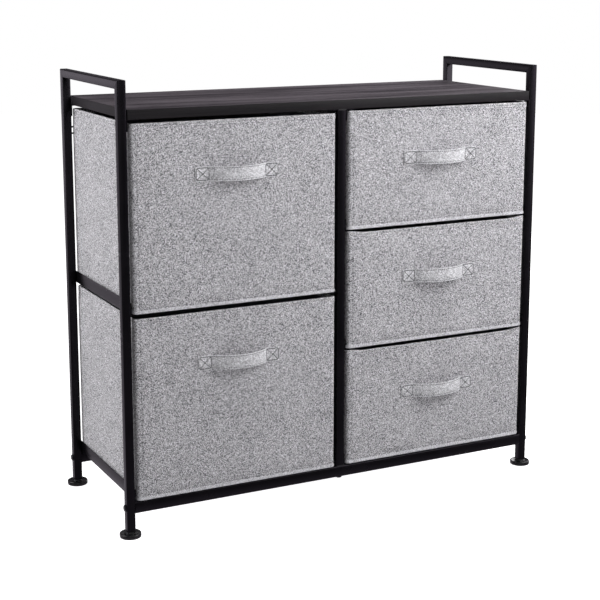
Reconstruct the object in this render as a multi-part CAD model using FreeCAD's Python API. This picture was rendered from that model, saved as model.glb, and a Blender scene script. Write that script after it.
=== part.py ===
"""Free-standing dresser: a steel-tube frame that carries five pull-out fabric bins.

Two end frames, each two posts under a mitred handle tube, hold a laminated board, two
bottom rails and steel angle runners. A pair of centre uprights parts the left bay, with two
tall bins, from the right bay, with three short ones. Four levelling feet screw into the posts.

Frame: origin on the floor, midway between the posts. X runs to the right, Y to the back
(the bins open towards -Y) and Z up. Millimetres.
"""
import FreeCAD
import Part
import math
import os

Vec = FreeCAD.Vector
X_AXIS = Vec(1, 0, 0)
Z_AXIS = Vec(0, 0, 1)
LEFT, RIGHT = -1, 1
FRONT, REAR = -1, 1

# ---- Overall ----
WIDTH = 820.0            # across the outer faces of the end frames
DEPTH = 300.0            # over the front and rear posts
HEIGHT = 775.0           # floor to the top of the handle tubes

# ---- Tubes ----
TUBE = 15.0              # square tube of the posts, handles and uprights
TUBE_WALL = 1.2
RAIL_HEIGHT = 20.0       # bottom rails, as deep as the tube
RAIL_BOTTOM = 42.0       # floor to the underside of the rails

# ---- Board ----
BOARD_DROP = 48.0        # handle tube tops down to the board's upper face
BOARD_THICKNESS = 16.0
BOARD_END_GAP = 1.5      # to the posts at each end
EDGE_BAND = 0.6

# ---- Runners ----
RUNNER_SHEET = 1.2
RUNNER_HEIGHT = 22.0
RUNNER_LEDGE = 18.0
RUNNER_BEND = 1.8        # outer radius of the bend
RUNNER_SETBACK = 1.0     # behind the post faces at both ends
RUNNER_SCREW_UP = 12.0   # ledge underside to the screw axis

# ---- Brackets under the board ----
BRACKET_SHEET = 1.5
BRACKET_LEG = 20.0

# ---- Rods across the back ----
ROD_DIAMETER = 3.0
ROD_DROPS = (52.0, 40.5)  # board's underside down to the axes

# ---- Fasteners ----
BOLT_DIAMETER = 6.0
BOLT_HEAD = 12.0
BOLT_HEAD_HEIGHT = 3.0
BOLT_DOME = 2.2
HOLE_CLEARANCE = 0.4     # on the diameter
SCREW_DIAMETER = 3.6
SCREW_HEAD = 7.5
SCREW_HEAD_HEIGHT = 1.6
SCREW_REACH = 4.0        # past the face it is driven through
WOOD_SCREW_DIAMETER = 3.2
WOOD_SCREW_HEAD = 6.4
WOOD_SCREW_LENGTH = 11.0
INSERT_LENGTH = 18.0     # of a rail insert or an upright plug, inside its tube
PLUG_CAP = 2.0           # flange of a plug, outside its tube

# ---- Levelling feet ----
PAD_RADIUS = 18.5
PAD_THICKNESS = 7.5
PAD_EDGE = 1.2
STUD_RADIUS = 4.0
STUD_SUNK = 4.5          # stud length moulded into the pad
STUD_LENGTH = 27.0
STUD_CLEARANCE = 0.1     # on the radius, in the post insert
HEX_FLATS = 12.0
HEX_THICKNESS = 1.2
FOOT_GAP = 0.3           # hex to the post insert
POST_INSERT_LENGTH = 24.0

# ---- Bins ----
BIN_SIDE_GAP = 5.25      # to the post or upright, each side
BIN_REAR_GAP = 4.0       # to the plane of the posts' rear faces
BIN_LIFT = 0.3           # above the runner ledges
TALL_TOP_GAP = 6.0       # above a tall bin
SHORT_TOP_GAP = 2.3      # above a short bin
BIN_WALL = 2.5
BIN_CORNER = 6.0         # radius of the upright corners
BIN_FRONT_WALL = 6.0     # both layers and the pocket
FRONT_PANEL = 3.0
PANEL_PLAY = 0.1         # each face of the panel, in its pocket
PANEL_MARGIN = 12.0      # pocket to the bin's sides
PANEL_DROP = 4.0         # panel top below the rim
PANEL_RAISE = 6.0        # pocket floor above the bin's underside
BASE_BOARD = 3.0
BASE_PLAY = 0.5          # round the base board

# ---- Strap handles ----
STRAP_HEIGHT = 24.5
STRAP_THICKNESS = 1.6
STRAP_SPAN = 102.0       # free length between the sewn patches
STRAP_PATCH = 26.0       # length of a sewn patch
STRAP_BOW = 19.0         # how far the strap stands off the front
STRAP_DROP = 90.0        # rim to the strap's middle

# ---- Worked out ----
BORE = TUBE - 2 * TUBE_WALL                    # inside of the square tube
BOARD_TOP = HEIGHT - BOARD_DROP
BOARD_UNDER = BOARD_TOP - BOARD_THICKNESS
RAIL_TOP = RAIL_BOTTOM + RAIL_HEIGHT
INNER = WIDTH / 2 - TUBE                       # inner face of an end frame
POST_X = WIDTH / 2 - TUBE / 2                  # post axes
POST_Y = DEPTH / 2 - TUBE / 2
BAY_WIDTH = INNER - TUBE / 2
BIN_WIDTH = BAY_WIDTH - 2 * BIN_SIDE_GAP
BIN_DEPTH = DEPTH - BIN_REAR_GAP
RAIL_BOLT_Z = RAIL_BOTTOM + RAIL_HEIGHT / 2
INSERT_UNDER = PAD_THICKNESS + HEX_THICKNESS + FOOT_GAP
POST_BOTTOM = INSERT_UNDER + PLUG_CAP
BRACKET_SCREW_Z = BOARD_UNDER - BRACKET_LEG / 2
PAST = 1.0                                     # how far a cutter runs past a face

BAYS = {
    "left": {"side": LEFT, "levels": ("lower", "upper"), "top_gap": TALL_TOP_GAP},
    "right": {"side": RIGHT, "levels": ("lower", "middle", "upper"), "top_gap": SHORT_TOP_GAP},
}


def box(xs, ys, zs):
    """A box between two values on each axis, given in either order."""
    low = Vec(min(xs), min(ys), min(zs))
    return Part.makeBox(abs(xs[1] - xs[0]), abs(ys[1] - ys[0]), abs(zs[1] - zs[0]), low)


def rod(radius, length, base, axis):
    """A cylinder from base along axis."""
    return Part.makeCylinder(radius, length, base, axis)


def prism(points, push):
    """A straight prism on a closed outline of points."""
    return Part.Face(Part.makePolygon(points + points[:1])).extrude(push)


def about(centre, width):
    """The two ends of a width centred on a value."""
    return (centre - width / 2, centre + width / 2)


def rounded_box(xs, ys, zs, radius):
    """A box whose four upright edges are rounded."""
    solid = box(xs, ys, zs)
    upright_edges = [e for e in solid.Edges if abs(e.tangentAt(e.FirstParameter).z) > 0.99]
    return solid.makeFillet(radius, upright_edges)


def save(node, *solids):
    """Writes one node; a group of like pieces goes in as separate solids."""
    shape = solids[0] if len(solids) == 1 else Part.makeCompound(list(solids))
    shape.exportStep(os.path.join("parts", node + ".step"))


def ledge_z(bay, index):
    """Underside of a bay's runner ledges at a level, counted from the bottom."""
    return RAIL_TOP + index * (BOARD_UNDER - RAIL_TOP) / len(bay["levels"])


def runner_screw_heights(bay):
    """Heights of the runner screws in one bay."""
    return [ledge_z(bay, i) + RUNNER_SCREW_UP for i in range(len(bay["levels"]))]


def side_name(side):
    """The word for a side in node names."""
    return "left" if side == LEFT else "right"


def end_name(end):
    """The word for an end in node names."""
    return "front" if end == FRONT else "rear"


# ---- End frames ----
def post(side, end):
    """A hollow post, mitred at the top, drilled for its rail bolt and inner screws."""
    xs = (side * WIDTH / 2, side * INNER)
    outer_y, inner_y = end * DEPTH / 2, end * (DEPTH / 2 - TUBE)
    outline = [
        Vec(xs[0], outer_y, POST_BOTTOM),
        Vec(xs[0], inner_y, POST_BOTTOM),
        Vec(xs[0], inner_y, HEIGHT - TUBE),
        Vec(xs[0], outer_y, HEIGHT),
    ]
    solid = prism(outline, Vec(xs[1] - xs[0], 0, 0))
    solid = solid.cut(box(about(side * POST_X, BORE), about(end * POST_Y, BORE),
                          (POST_BOTTOM - PAST, HEIGHT + PAST)))
    solid = solid.cut(rod((BOLT_DIAMETER + HOLE_CLEARANCE) / 2, TUBE + 2 * PAST,
                          Vec(side * POST_X - TUBE / 2 - PAST, end * POST_Y, RAIL_BOLT_Z), X_AXIS))
    for z in runner_screw_heights(BAYS[side_name(side)]) + [BRACKET_SCREW_Z]:
        solid = solid.cut(face_screw_hole(side * INNER, side, end, z))
    return solid


def face_screw_hole(face_x, into, end, z):
    """Tapped hole for a screw driven through a post's or upright's side face."""
    start = Vec(face_x - into * PAST, end * POST_Y, z)
    return rod(SCREW_DIAMETER / 2, SCREW_REACH + PAST, start, X_AXIS * into)


def handle_tube(side):
    """The mitred tube across the top of an end frame."""
    x0 = side * WIDTH / 2
    outline = [
        Vec(x0, -DEPTH / 2, HEIGHT),
        Vec(x0, DEPTH / 2, HEIGHT),
        Vec(x0, DEPTH / 2 - TUBE, HEIGHT - TUBE),
        Vec(x0, TUBE - DEPTH / 2, HEIGHT - TUBE),
    ]
    solid = prism(outline, Vec(-side * TUBE, 0, 0))
    return solid.cut(box(about(side * POST_X, BORE),
                         about(0, DEPTH + 2 * PAST), about(HEIGHT - TUBE / 2, BORE)))


# ---- Rails and uprights ----
def bottom_rail(end):
    """A rectangular tube between the end frames, drilled for its upright's bolt."""
    ys = about(end * POST_Y, TUBE)
    solid = box((-INNER, INNER), ys, (RAIL_BOTTOM, RAIL_TOP))
    solid = solid.cut(box((-INNER - PAST, INNER + PAST),
                          about(end * POST_Y, BORE),
                          (RAIL_BOTTOM + TUBE_WALL, RAIL_TOP - TUBE_WALL)))
    return solid.cut(rod((BOLT_DIAMETER + HOLE_CLEARANCE) / 2, RAIL_HEIGHT + 2 * PAST,
                         Vec(0, end * POST_Y, RAIL_BOTTOM - PAST), Z_AXIS))


def rail_insert(side, end):
    """Threaded block inside a rail's end."""
    xs = (side * INNER, side * (INNER - INSERT_LENGTH))
    block = box(xs, about(end * POST_Y, BORE),
                (RAIL_BOTTOM + TUBE_WALL, RAIL_TOP - TUBE_WALL))
    return block.cut(rod(BOLT_DIAMETER / 2, INSERT_LENGTH + 2 * PAST,
                         Vec(side * (INNER + PAST), end * POST_Y, RAIL_BOLT_Z), X_AXIS * -side))


def domed_bolt(seat, axis, length):
    """A button-head bolt: seat is the underside of its head, axis points down the shank."""
    head = rod(BOLT_HEAD / 2, BOLT_HEAD_HEIGHT, seat, axis * -1)
    crown = seat - axis * BOLT_HEAD_HEIGHT
    rim = [e for e in head.Edges if is_circle_at(e, crown)]
    head = head.makeFillet(BOLT_DOME, rim)
    return head.fuse(rod(BOLT_DIAMETER / 2, length, seat, axis)).removeSplitter()


def is_circle_at(edge, centre):
    """Whether an edge is a full circle about a point."""
    return isinstance(edge.Curve, Part.Circle) and edge.Curve.Center.distanceToPoint(centre) < 1e-6


def rail_bolt(side, end):
    """Bolt through a post into the rail's insert, its head outside."""
    seat = Vec(side * WIDTH / 2, end * POST_Y, RAIL_BOLT_Z)
    return domed_bolt(seat, X_AXIS * -side, TUBE + INSERT_LENGTH - BOLT_DIAMETER / 2)


def upright(end):
    """A hollow centre upright between its two plugs, drilled for runners and brackets."""
    zs = (RAIL_TOP + PLUG_CAP, BOARD_UNDER - PLUG_CAP)
    solid = box(about(0, TUBE), about(end * POST_Y, TUBE), zs)
    solid = solid.cut(box(about(0, BORE), about(end * POST_Y, BORE), (zs[0] - PAST, zs[1] + PAST)))
    for cutter in upright_screw_holes(end):
        solid = solid.cut(cutter)
    return solid


def upright_screw_holes(end):
    """The tapped holes in an upright's two side faces and in the plugs behind them."""
    return [face_screw_hole(bay["side"] * TUBE / 2, -bay["side"], end, z)
            for bay in BAYS.values()
            for z in runner_screw_heights(bay) + [BRACKET_SCREW_Z]]


def upright_plug(end, top):
    """Plug with a square cap: the lower one is tapped for the bolt through the rail."""
    rim = BOARD_UNDER if top else RAIL_TOP
    inward = -1 if top else 1
    cap = rim + inward * PLUG_CAP
    plug = box(about(0, TUBE), about(end * POST_Y, TUBE), (rim, cap))
    plug = plug.fuse(box(about(0, BORE), about(end * POST_Y, BORE),
                         (cap, cap + inward * INSERT_LENGTH)))
    if not top:
        plug = plug.cut(rod(BOLT_DIAMETER / 2, PLUG_CAP + INSERT_LENGTH + 2 * PAST,
                            Vec(0, end * POST_Y, RAIL_TOP - PAST), Z_AXIS))
    for cutter in upright_screw_holes(end):
        plug = plug.cut(cutter)
    return plug.removeSplitter()


def upright_bolt(end):
    """Bolt up through a bottom rail into the upright's lower plug."""
    seat = Vec(0, end * POST_Y, RAIL_BOTTOM)
    return domed_bolt(seat, Z_AXIS, RAIL_HEIGHT + INSERT_LENGTH)


# ---- Runners and brackets ----
def runner(face_x, inward, z):
    """A steel angle: upright flange on the face at face_x, ledge pointing inward."""
    x1, x2 = face_x + inward * RUNNER_SHEET, face_x + inward * RUNNER_LEDGE
    y0 = RUNNER_SETBACK - DEPTH / 2
    outline = [
        Vec(face_x, y0, z),
        Vec(x2, y0, z),
        Vec(x2, y0, z + RUNNER_SHEET),
        Vec(x1, y0, z + RUNNER_SHEET),
        Vec(x1, y0, z + RUNNER_HEIGHT),
        Vec(face_x, y0, z + RUNNER_HEIGHT),
    ]
    angle = prism(outline, Vec(0, DEPTH - 2 * RUNNER_SETBACK, 0))
    angle = angle.makeFillet(RUNNER_BEND, [edge_along_y(angle, face_x, z)])
    angle = angle.makeFillet(RUNNER_BEND - RUNNER_SHEET,
                             [edge_along_y(angle, x1, z + RUNNER_SHEET)])
    for end in (FRONT, REAR):
        angle = angle.cut(rod((SCREW_DIAMETER + HOLE_CLEARANCE) / 2, RUNNER_SHEET + 2 * PAST,
                              Vec(face_x - inward * PAST, end * POST_Y, z + RUNNER_SCREW_UP),
                              X_AXIS * inward))
    return angle


def edge_along_y(shape, x, z):
    """The edge along Y at a given x and z."""
    for edge in shape.Edges:
        ends = [v.Point for v in edge.Vertexes]
        if all(abs(p.x - x) < 1e-6 and abs(p.z - z) < 1e-6 for p in ends):
            return edge
    raise ValueError("no edge along Y at x %.3f, z %.3f" % (x, z))


def pan_screw(face_x, sheet, into, end, z):
    """A pan-head screw through a sheet on the face at face_x, driven along X."""
    seat = Vec(face_x - into * sheet, end * POST_Y, z)
    head = rod(SCREW_HEAD / 2, SCREW_HEAD_HEIGHT, seat, X_AXIS * -into)
    crown = seat - X_AXIS * (into * SCREW_HEAD_HEIGHT)
    rim = [e for e in head.Edges if is_circle_at(e, crown)]
    head = head.makeFillet(SCREW_HEAD_HEIGHT / 2, rim)
    shank = rod(SCREW_DIAMETER / 2, sheet + SCREW_REACH, seat, X_AXIS * into)
    return head.fuse(shank).removeSplitter()


def bracket(face_x, inward, end):
    """An angle bracket: one leg down the post or upright, one under the board."""
    ys = about(end * POST_Y, TUBE)
    down = box((face_x, face_x + inward * BRACKET_SHEET), ys,
               (BOARD_UNDER - BRACKET_LEG, BOARD_UNDER))
    along = box((face_x, face_x + inward * BRACKET_LEG), ys,
                (BOARD_UNDER - BRACKET_SHEET, BOARD_UNDER))
    piece = down.fuse(along).removeSplitter()
    piece = piece.cut(rod((SCREW_DIAMETER + HOLE_CLEARANCE) / 2, BRACKET_SHEET + 2 * PAST,
                          Vec(face_x - inward * PAST, end * POST_Y, BRACKET_SCREW_Z),
                          X_AXIS * inward))
    return piece.cut(wood_screw(face_x, inward, end))


def wood_screw(face_x, inward, end):
    """Countersunk screw, flush under a bracket's leg and up into the board."""
    x = face_x + inward * (BRACKET_LEG + BRACKET_SHEET) / 2
    base = Vec(x, end * POST_Y, BOARD_UNDER - BRACKET_SHEET)
    head = Part.makeCone(WOOD_SCREW_HEAD / 2, WOOD_SCREW_DIAMETER / 2, BRACKET_SHEET, base, Z_AXIS)
    return head.fuse(rod(WOOD_SCREW_DIAMETER / 2, WOOD_SCREW_LENGTH, base, Z_AXIS)).removeSplitter()


def bracket_places():
    """Face, inward direction and end of every board bracket."""
    places = []
    for end in (FRONT, REAR):
        for side in (LEFT, RIGHT):
            places.append((side * INNER, -side, end))
            places.append((side * TUBE / 2, side, end))
    return places


# ---- Board ----
def board_core():
    """The particle board inside its edge banding, with the screw holes in its underside."""
    half = INNER - BOARD_END_GAP - EDGE_BAND
    core = box((-half, half), about(0, DEPTH - 2 * EDGE_BAND), (BOARD_UNDER, BOARD_TOP))
    for place in bracket_places():
        core = core.cut(wood_screw(*place))
    return core


def edge_bands():
    """The four strips round the board: long ones front and rear, short ones between."""
    zs = (BOARD_UNDER, BOARD_TOP)
    half = INNER - BOARD_END_GAP
    strips = []
    for end in (FRONT, REAR):
        strips.append(box((-half, half), (end * DEPTH / 2, end * (DEPTH / 2 - EDGE_BAND)), zs))
    for side in (LEFT, RIGHT):
        strips.append(box((side * half, side * (half - EDGE_BAND)),
                          about(0, DEPTH - 2 * EDGE_BAND), zs))
    return strips


# ---- Rods across the back ----
def tie_rods():
    """Two thin rods in each bay, ending on the post and the centre upright."""
    y = DEPTH / 2 - ROD_DIAMETER / 2
    return [rod(ROD_DIAMETER / 2, BAY_WIDTH, Vec(side * TUBE / 2, y, BOARD_UNDER - drop), X_AXIS * side)
            for side in (LEFT, RIGHT) for drop in ROD_DROPS]


# ---- Levelling feet ----
def foot_axis(side, end):
    """Floor point under a post's middle."""
    return Vec(side * POST_X, end * POST_Y, 0)


def foot_pad(side, end):
    """A round pad with softened edges and a socket for its stud."""
    axis = foot_axis(side, end)
    pad = rod(PAD_RADIUS, PAD_THICKNESS, axis, Z_AXIS)
    rims = [e for e in pad.Edges if isinstance(e.Curve, Part.Circle)]
    pad = pad.makeFillet(PAD_EDGE, rims)
    return pad.cut(rod(STUD_RADIUS, STUD_SUNK + PAST,
                       axis + Z_AXIS * (PAD_THICKNESS - STUD_SUNK), Z_AXIS))


def foot_stud(side, end):
    """The stud with its hex, from the pad's socket up into the post's insert."""
    axis = foot_axis(side, end)
    stud = rod(STUD_RADIUS, STUD_LENGTH, axis + Z_AXIS * (PAD_THICKNESS - STUD_SUNK), Z_AXIS)
    corner = HEX_FLATS / 2 / math.cos(math.pi / 6)
    seat = axis + Z_AXIS * PAD_THICKNESS
    points = [seat + Vec(corner * math.cos(math.radians(60 * k)),
                         corner * math.sin(math.radians(60 * k)), 0) for k in range(6)]
    return stud.fuse(prism(points, Z_AXIS * HEX_THICKNESS)).removeSplitter()


def post_insert(side, end):
    """Threaded plug in a post's lower end, its square cap closing the tube."""
    axis = foot_axis(side, end)
    plug = box(about(axis.x, TUBE), about(axis.y, TUBE), (INSERT_UNDER, POST_BOTTOM))
    plug = plug.fuse(box(about(axis.x, BORE), about(axis.y, BORE),
                         (POST_BOTTOM, POST_BOTTOM + POST_INSERT_LENGTH)))
    hole = rod(STUD_RADIUS + STUD_CLEARANCE, PLUG_CAP + POST_INSERT_LENGTH + 2 * PAST,
               axis + Z_AXIS * (INSERT_UNDER - PAST), Z_AXIS)
    return plug.cut(hole).removeSplitter()


# ---- Bins ----
def bin_box(bay, index):
    """The outer x, y and z spans of a bin."""
    xs = about(bay["side"] * (BAY_WIDTH + TUBE) / 2, BIN_WIDTH)
    ys = (-DEPTH / 2, BIN_DEPTH - DEPTH / 2)
    low = ledge_z(bay, index) + RUNNER_SHEET + BIN_LIFT
    return xs, ys, (low, ledge_z(bay, index + 1) - bay["top_gap"])


def bin_shell(xs, ys, zs):
    """The open fabric box, its front wall a double layer with a pocket open at the rim."""
    outer = rounded_box(xs, ys, zs, BIN_CORNER)
    inner = rounded_box((xs[0] + BIN_WALL, xs[1] - BIN_WALL),
                        (ys[0] + BIN_FRONT_WALL, ys[1] - BIN_WALL),
                        (zs[0] + BIN_WALL, zs[1] + PAST), BIN_CORNER - BIN_WALL)
    pocket = box(*panel_spans(xs, ys, zs, PANEL_PLAY, zs[1] + PAST))
    return outer.cut(inner).cut(pocket)


def panel_spans(xs, ys, zs, play, top):
    """Spans of the stiff front panel, or of its pocket when play is added."""
    middle = ys[0] + BIN_FRONT_WALL / 2
    return ((xs[0] + PANEL_MARGIN - play, xs[1] - PANEL_MARGIN + play),
            about(middle, FRONT_PANEL + 2 * play), (zs[0] + PANEL_RAISE, top))


def base_board(xs, ys, zs):
    """The loose board on the bin's floor."""
    low = zs[0] + BIN_WALL
    return rounded_box((xs[0] + BIN_WALL + BASE_PLAY, xs[1] - BIN_WALL - BASE_PLAY),
                       (ys[0] + BIN_FRONT_WALL + BASE_PLAY, ys[1] - BIN_WALL - BASE_PLAY),
                       (low, low + BASE_BOARD), BIN_CORNER - BIN_WALL)


def strap(xs, ys, zs):
    """A flat strap sewn at both ends, bowed away from the front between its patches."""
    middle, face = sum(xs) / 2, ys[0]
    half, tip = STRAP_SPAN / 2, STRAP_SPAN / 2 + STRAP_PATCH
    lean = 2 * math.atan(STRAP_BOW / half)
    reach = half + STRAP_THICKNESS * math.tan(lean / 2)
    low = zs[1] - STRAP_DROP - STRAP_HEIGHT / 2

    def at(x, out):
        """A point along the strap, standing out from the front."""
        return Vec(middle + x, face - out, low)

    inside = [at(-half, 0), at(0, STRAP_BOW), at(half, 0)]
    outside = [at(reach, STRAP_THICKNESS), at(0, STRAP_BOW + STRAP_THICKNESS),
               at(-reach, STRAP_THICKNESS)]
    ends = [at(tip, 0), at(tip, STRAP_THICKNESS), at(-tip, STRAP_THICKNESS), at(-tip, 0)]
    edges = [
        Part.makeLine(ends[3], inside[0]),
        Part.Arc(*inside).toShape(),
        Part.makeLine(inside[2], ends[0]),
        Part.makeLine(ends[0], ends[1]),
        Part.makeLine(ends[1], outside[0]),
        Part.Arc(*outside).toShape(),
        Part.makeLine(outside[2], ends[2]),
        Part.makeLine(ends[2], ends[3]),
    ]
    return Part.Face(Part.Wire(edges)).extrude(Z_AXIS * STRAP_HEIGHT)


# ---- Build ----
def build_frame():
    """Saves the tubes of the frame and what joins them."""
    for side in (LEFT, RIGHT):
        for end in (FRONT, REAR):
            save("%s_%s_post" % (side_name(side), end_name(end)), post(side, end))
        save(side_name(side) + "_handle_tube", handle_tube(side))
    for end in (FRONT, REAR):
        save(end_name(end) + "_bottom_rail", bottom_rail(end))
        save("centre_%s_upright" % end_name(end), upright(end))
    corners = [(side, end) for side in (LEFT, RIGHT) for end in (FRONT, REAR)]
    save("rail_bolts", *[rail_bolt(*corner) for corner in corners])
    save("rail_end_inserts", *[rail_insert(*corner) for corner in corners])
    save("post_foot_inserts", *[post_insert(*corner) for corner in corners])
    save("upright_bolts", upright_bolt(FRONT), upright_bolt(REAR))
    save("upright_plugs", *[upright_plug(end, top) for end in (FRONT, REAR) for top in (False, True)])
    save("rear_tie_rods", *tie_rods())


def build_runners():
    """Saves the runners of both bays and their screws."""
    screws = []
    for bay_name, bay in BAYS.items():
        side = bay["side"]
        for index, level in enumerate(bay["levels"]):
            z = ledge_z(bay, index)
            for place, face_x, inward in (("outer", side * INNER, -side),
                                          ("inner", side * TUBE / 2, side)):
                save("%s_bay_%s_%s_runner" % (bay_name, level, place), runner(face_x, inward, z))
                screws += [pan_screw(face_x, RUNNER_SHEET, -inward, end, z + RUNNER_SCREW_UP)
                           for end in (FRONT, REAR)]
    save("runner_screws", *screws)


def build_board():
    """Saves the board, its banding, its brackets and their screws."""
    save("board_core", board_core())
    save("board_edge_band", *edge_bands())
    save("board_brackets", *[bracket(*place) for place in bracket_places()])
    screws = [wood_screw(*place) for place in bracket_places()]
    screws += [pan_screw(face_x, BRACKET_SHEET, -inward, end, BRACKET_SCREW_Z)
               for face_x, inward, end in bracket_places()]
    save("bracket_screws", *screws)


def build_feet():
    """Saves the pad and stud of each levelling foot."""
    for side in (LEFT, RIGHT):
        for end in (FRONT, REAR):
            name = "%s_%s_foot" % (end_name(end), side_name(side))
            save(name + "_pad", foot_pad(side, end))
            save(name + "_stud", foot_stud(side, end))


def build_bins():
    """Saves the four pieces of each bin."""
    for bay_name, bay in BAYS.items():
        for index, level in enumerate(bay["levels"]):
            name = "%s_%s_bin" % (level, bay_name)
            spans = bin_box(bay, index)
            xs, ys, zs = spans
            save(name + "_shell", bin_shell(*spans))
            save(name + "_front_panel", box(*panel_spans(xs, ys, zs, 0, zs[1] - PANEL_DROP)))
            save(name + "_base_board", base_board(*spans))
            save(name + "_strap", strap(*spans))


os.makedirs("parts", exist_ok=True)
build_frame()
build_runners()
build_board()
build_feet()
build_bins()
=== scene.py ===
"""Looks of a steel-framed dresser with five sewn fabric bins.

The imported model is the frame: each piece made here takes its place from the CAD nodes, rides on
their body and replaces those that it stands for. Metres, X right, Y back, Z up.
"""
import logging
import math
from collections.abc import Iterator
from dataclasses import dataclass
from enum import Enum

import bmesh
import bpy
from mathutils import Matrix, Vector, noise


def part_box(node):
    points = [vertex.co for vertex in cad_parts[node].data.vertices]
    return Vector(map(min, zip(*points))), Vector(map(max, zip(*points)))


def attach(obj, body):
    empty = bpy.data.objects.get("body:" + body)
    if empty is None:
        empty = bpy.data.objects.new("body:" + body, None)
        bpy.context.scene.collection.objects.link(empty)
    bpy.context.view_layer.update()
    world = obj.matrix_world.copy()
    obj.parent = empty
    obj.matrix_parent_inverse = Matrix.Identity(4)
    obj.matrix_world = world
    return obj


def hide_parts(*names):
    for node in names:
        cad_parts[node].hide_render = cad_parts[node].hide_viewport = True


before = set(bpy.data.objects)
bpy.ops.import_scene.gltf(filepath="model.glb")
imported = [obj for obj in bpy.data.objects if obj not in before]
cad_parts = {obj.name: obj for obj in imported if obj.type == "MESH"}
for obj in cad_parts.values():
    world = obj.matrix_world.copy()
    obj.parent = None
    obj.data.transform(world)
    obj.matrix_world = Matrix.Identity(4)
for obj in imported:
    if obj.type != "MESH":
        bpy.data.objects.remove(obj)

MM = 0.001
X, Y, Z = 0, 1, 2
AXES = (Vector((1, 0, 0)), Vector((0, 1, 0)), Vector((0, 0, 1)))
UP = AXES[Z]
TOUCH = 0.02 * MM         # two places nearer than this are one
ALONG = 0.999             # an edge runs along an axis when its direction has this much of it
FACING = 0.99             # and a face faces a way when its normal has this much of it
CRISP = math.radians(35)  # edges bent further than this stay crisp
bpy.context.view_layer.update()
LOG = logging.getLogger("dresser")
Stitches = Iterator[tuple[Vector, Vector, Vector]]  # where each lies, runs and faces


class Side(Enum):
    """The two ends of the dresser, as signs along X."""

    LEFT = -1
    RIGHT = 1


class End(Enum):
    """The front, where the bins open, and the rear, as signs along Y."""

    FRONT = -1
    REAR = 1


def word(choice: Enum) -> str:
    """The word for a side or an end in node names."""
    return choice.name.lower()


# ---- Finishes ----
A, B, MIXED = 6, 7, 2  # the colour sockets of a Mix node
CLOTH_MAP = "weave"    # the cloth pieces' own map, in metres of cloth


def linear(colour: str) -> tuple[float, float, float, float]:
    """Turns an sRGB hex colour into linear light.

    Args:
        colour: Six hex digits after a hash.

    Returns:
        Red, green, blue and an alpha of 1.
    """
    parts = [int(colour[i : i + 2], 16) / 255 for i in (1, 3, 5)]
    light = [p / 12.92 if p <= 0.04045 else ((p + 0.055) / 1.055) ** 2.4 for p in parts]
    return (*light, 1.0)


def add(tree: bpy.types.NodeTree, kind: str, inputs: dict | None = None,
        **settings: object) -> bpy.types.Node:
    """Adds a shader node with its settings and links.

    Args:
        tree: The node tree that it joins.
        kind: The node's type, without "ShaderNode".
        inputs: Values or source sockets by the name or number of the input.
        **settings: Properties of the node.

    Returns:
        The node.
    """
    made = tree.nodes.new("ShaderNode" + kind)
    for name, value in settings.items():
        setattr(made, name, value)
    for socket, value in (inputs or {}).items():
        if isinstance(value, bpy.types.NodeSocket):
            tree.links.new(value, made.inputs[socket])
        else:
            made.inputs[socket].default_value = value
    return made


@dataclass(frozen=True)
class Finish:
    """A finish: subclasses wire its shader from real sizes."""

    name: str

    def shader(self, tree: bpy.types.NodeTree) -> bpy.types.Node:
        """Wires the finish and returns its surface shader."""
        raise NotImplementedError

    def cloud(self, tree: bpy.types.NodeTree, size: tuple[float, float, float], low: float = 0.0,
              high: float = 1.0, octaves: float = 3.0, soft: float = 0.25) -> bpy.types.NodeSocket:
        """Lays a cloudy pattern with features of a real size on the piece.

        Args:
            tree: The node tree that it joins.
            size: Feature size in metres along X, Y and Z.
            low: Its value in the valleys.
            high: Its value on the peaks.
            octaves: How much finer noise it carries.
            soft: Half the span of the noise over which it rises; less is crisper.

        Returns:
            The socket of the pattern's value.
        """
        place = add(tree, "TexCoord").outputs["Object"]
        scaled = add(tree, "VectorMath", {0: place, 1: [1 / s for s in size]}, operation="MULTIPLY")
        puffs = add(tree, "TexNoise", {"Vector": scaled.outputs[0], "Scale": 1.0, "Detail": octaves})
        span = {0: puffs.outputs[0], 1: 0.5 - soft, 2: 0.5 + soft, 3: low, 4: high}
        return add(tree, "MapRange", span).outputs[0]

    def dressed(self, tree: bpy.types.NodeTree, share: bpy.types.NodeSocket, first: str, second: str,
                inputs: dict) -> bpy.types.Node:
        """Wires the surface shader with two tones that a pattern mixes.

        Args:
            tree: The node tree that it joins.
            share: The pattern's value, from the first tone to the second.
            first: The tone in its valleys, in hex.
            second: The tone on its peaks, in hex.
            inputs: Values or source sockets for the shader's other inputs.

        Returns:
            The surface shader.
        """
        tone = add(tree, "Mix", {0: share, A: linear(first), B: linear(second)}, data_type="RGBA")
        return add(tree, "BsdfPrincipled", {"Base Color": tone.outputs[MIXED], **inputs})

    def material(self) -> bpy.types.Material:
        """Returns this finish's material, made when it is first asked for.

        Returns:
            The material.
        """
        made = bpy.data.materials.get(self.name)
        if made is None:
            made = bpy.data.materials.new(self.name)
            made.use_nodes = True
            made.node_tree.nodes.clear()
            surface = self.shader(made.node_tree)
            add(made.node_tree, "OutputMaterial", {"Surface": surface.outputs[0]})
        return made


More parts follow.
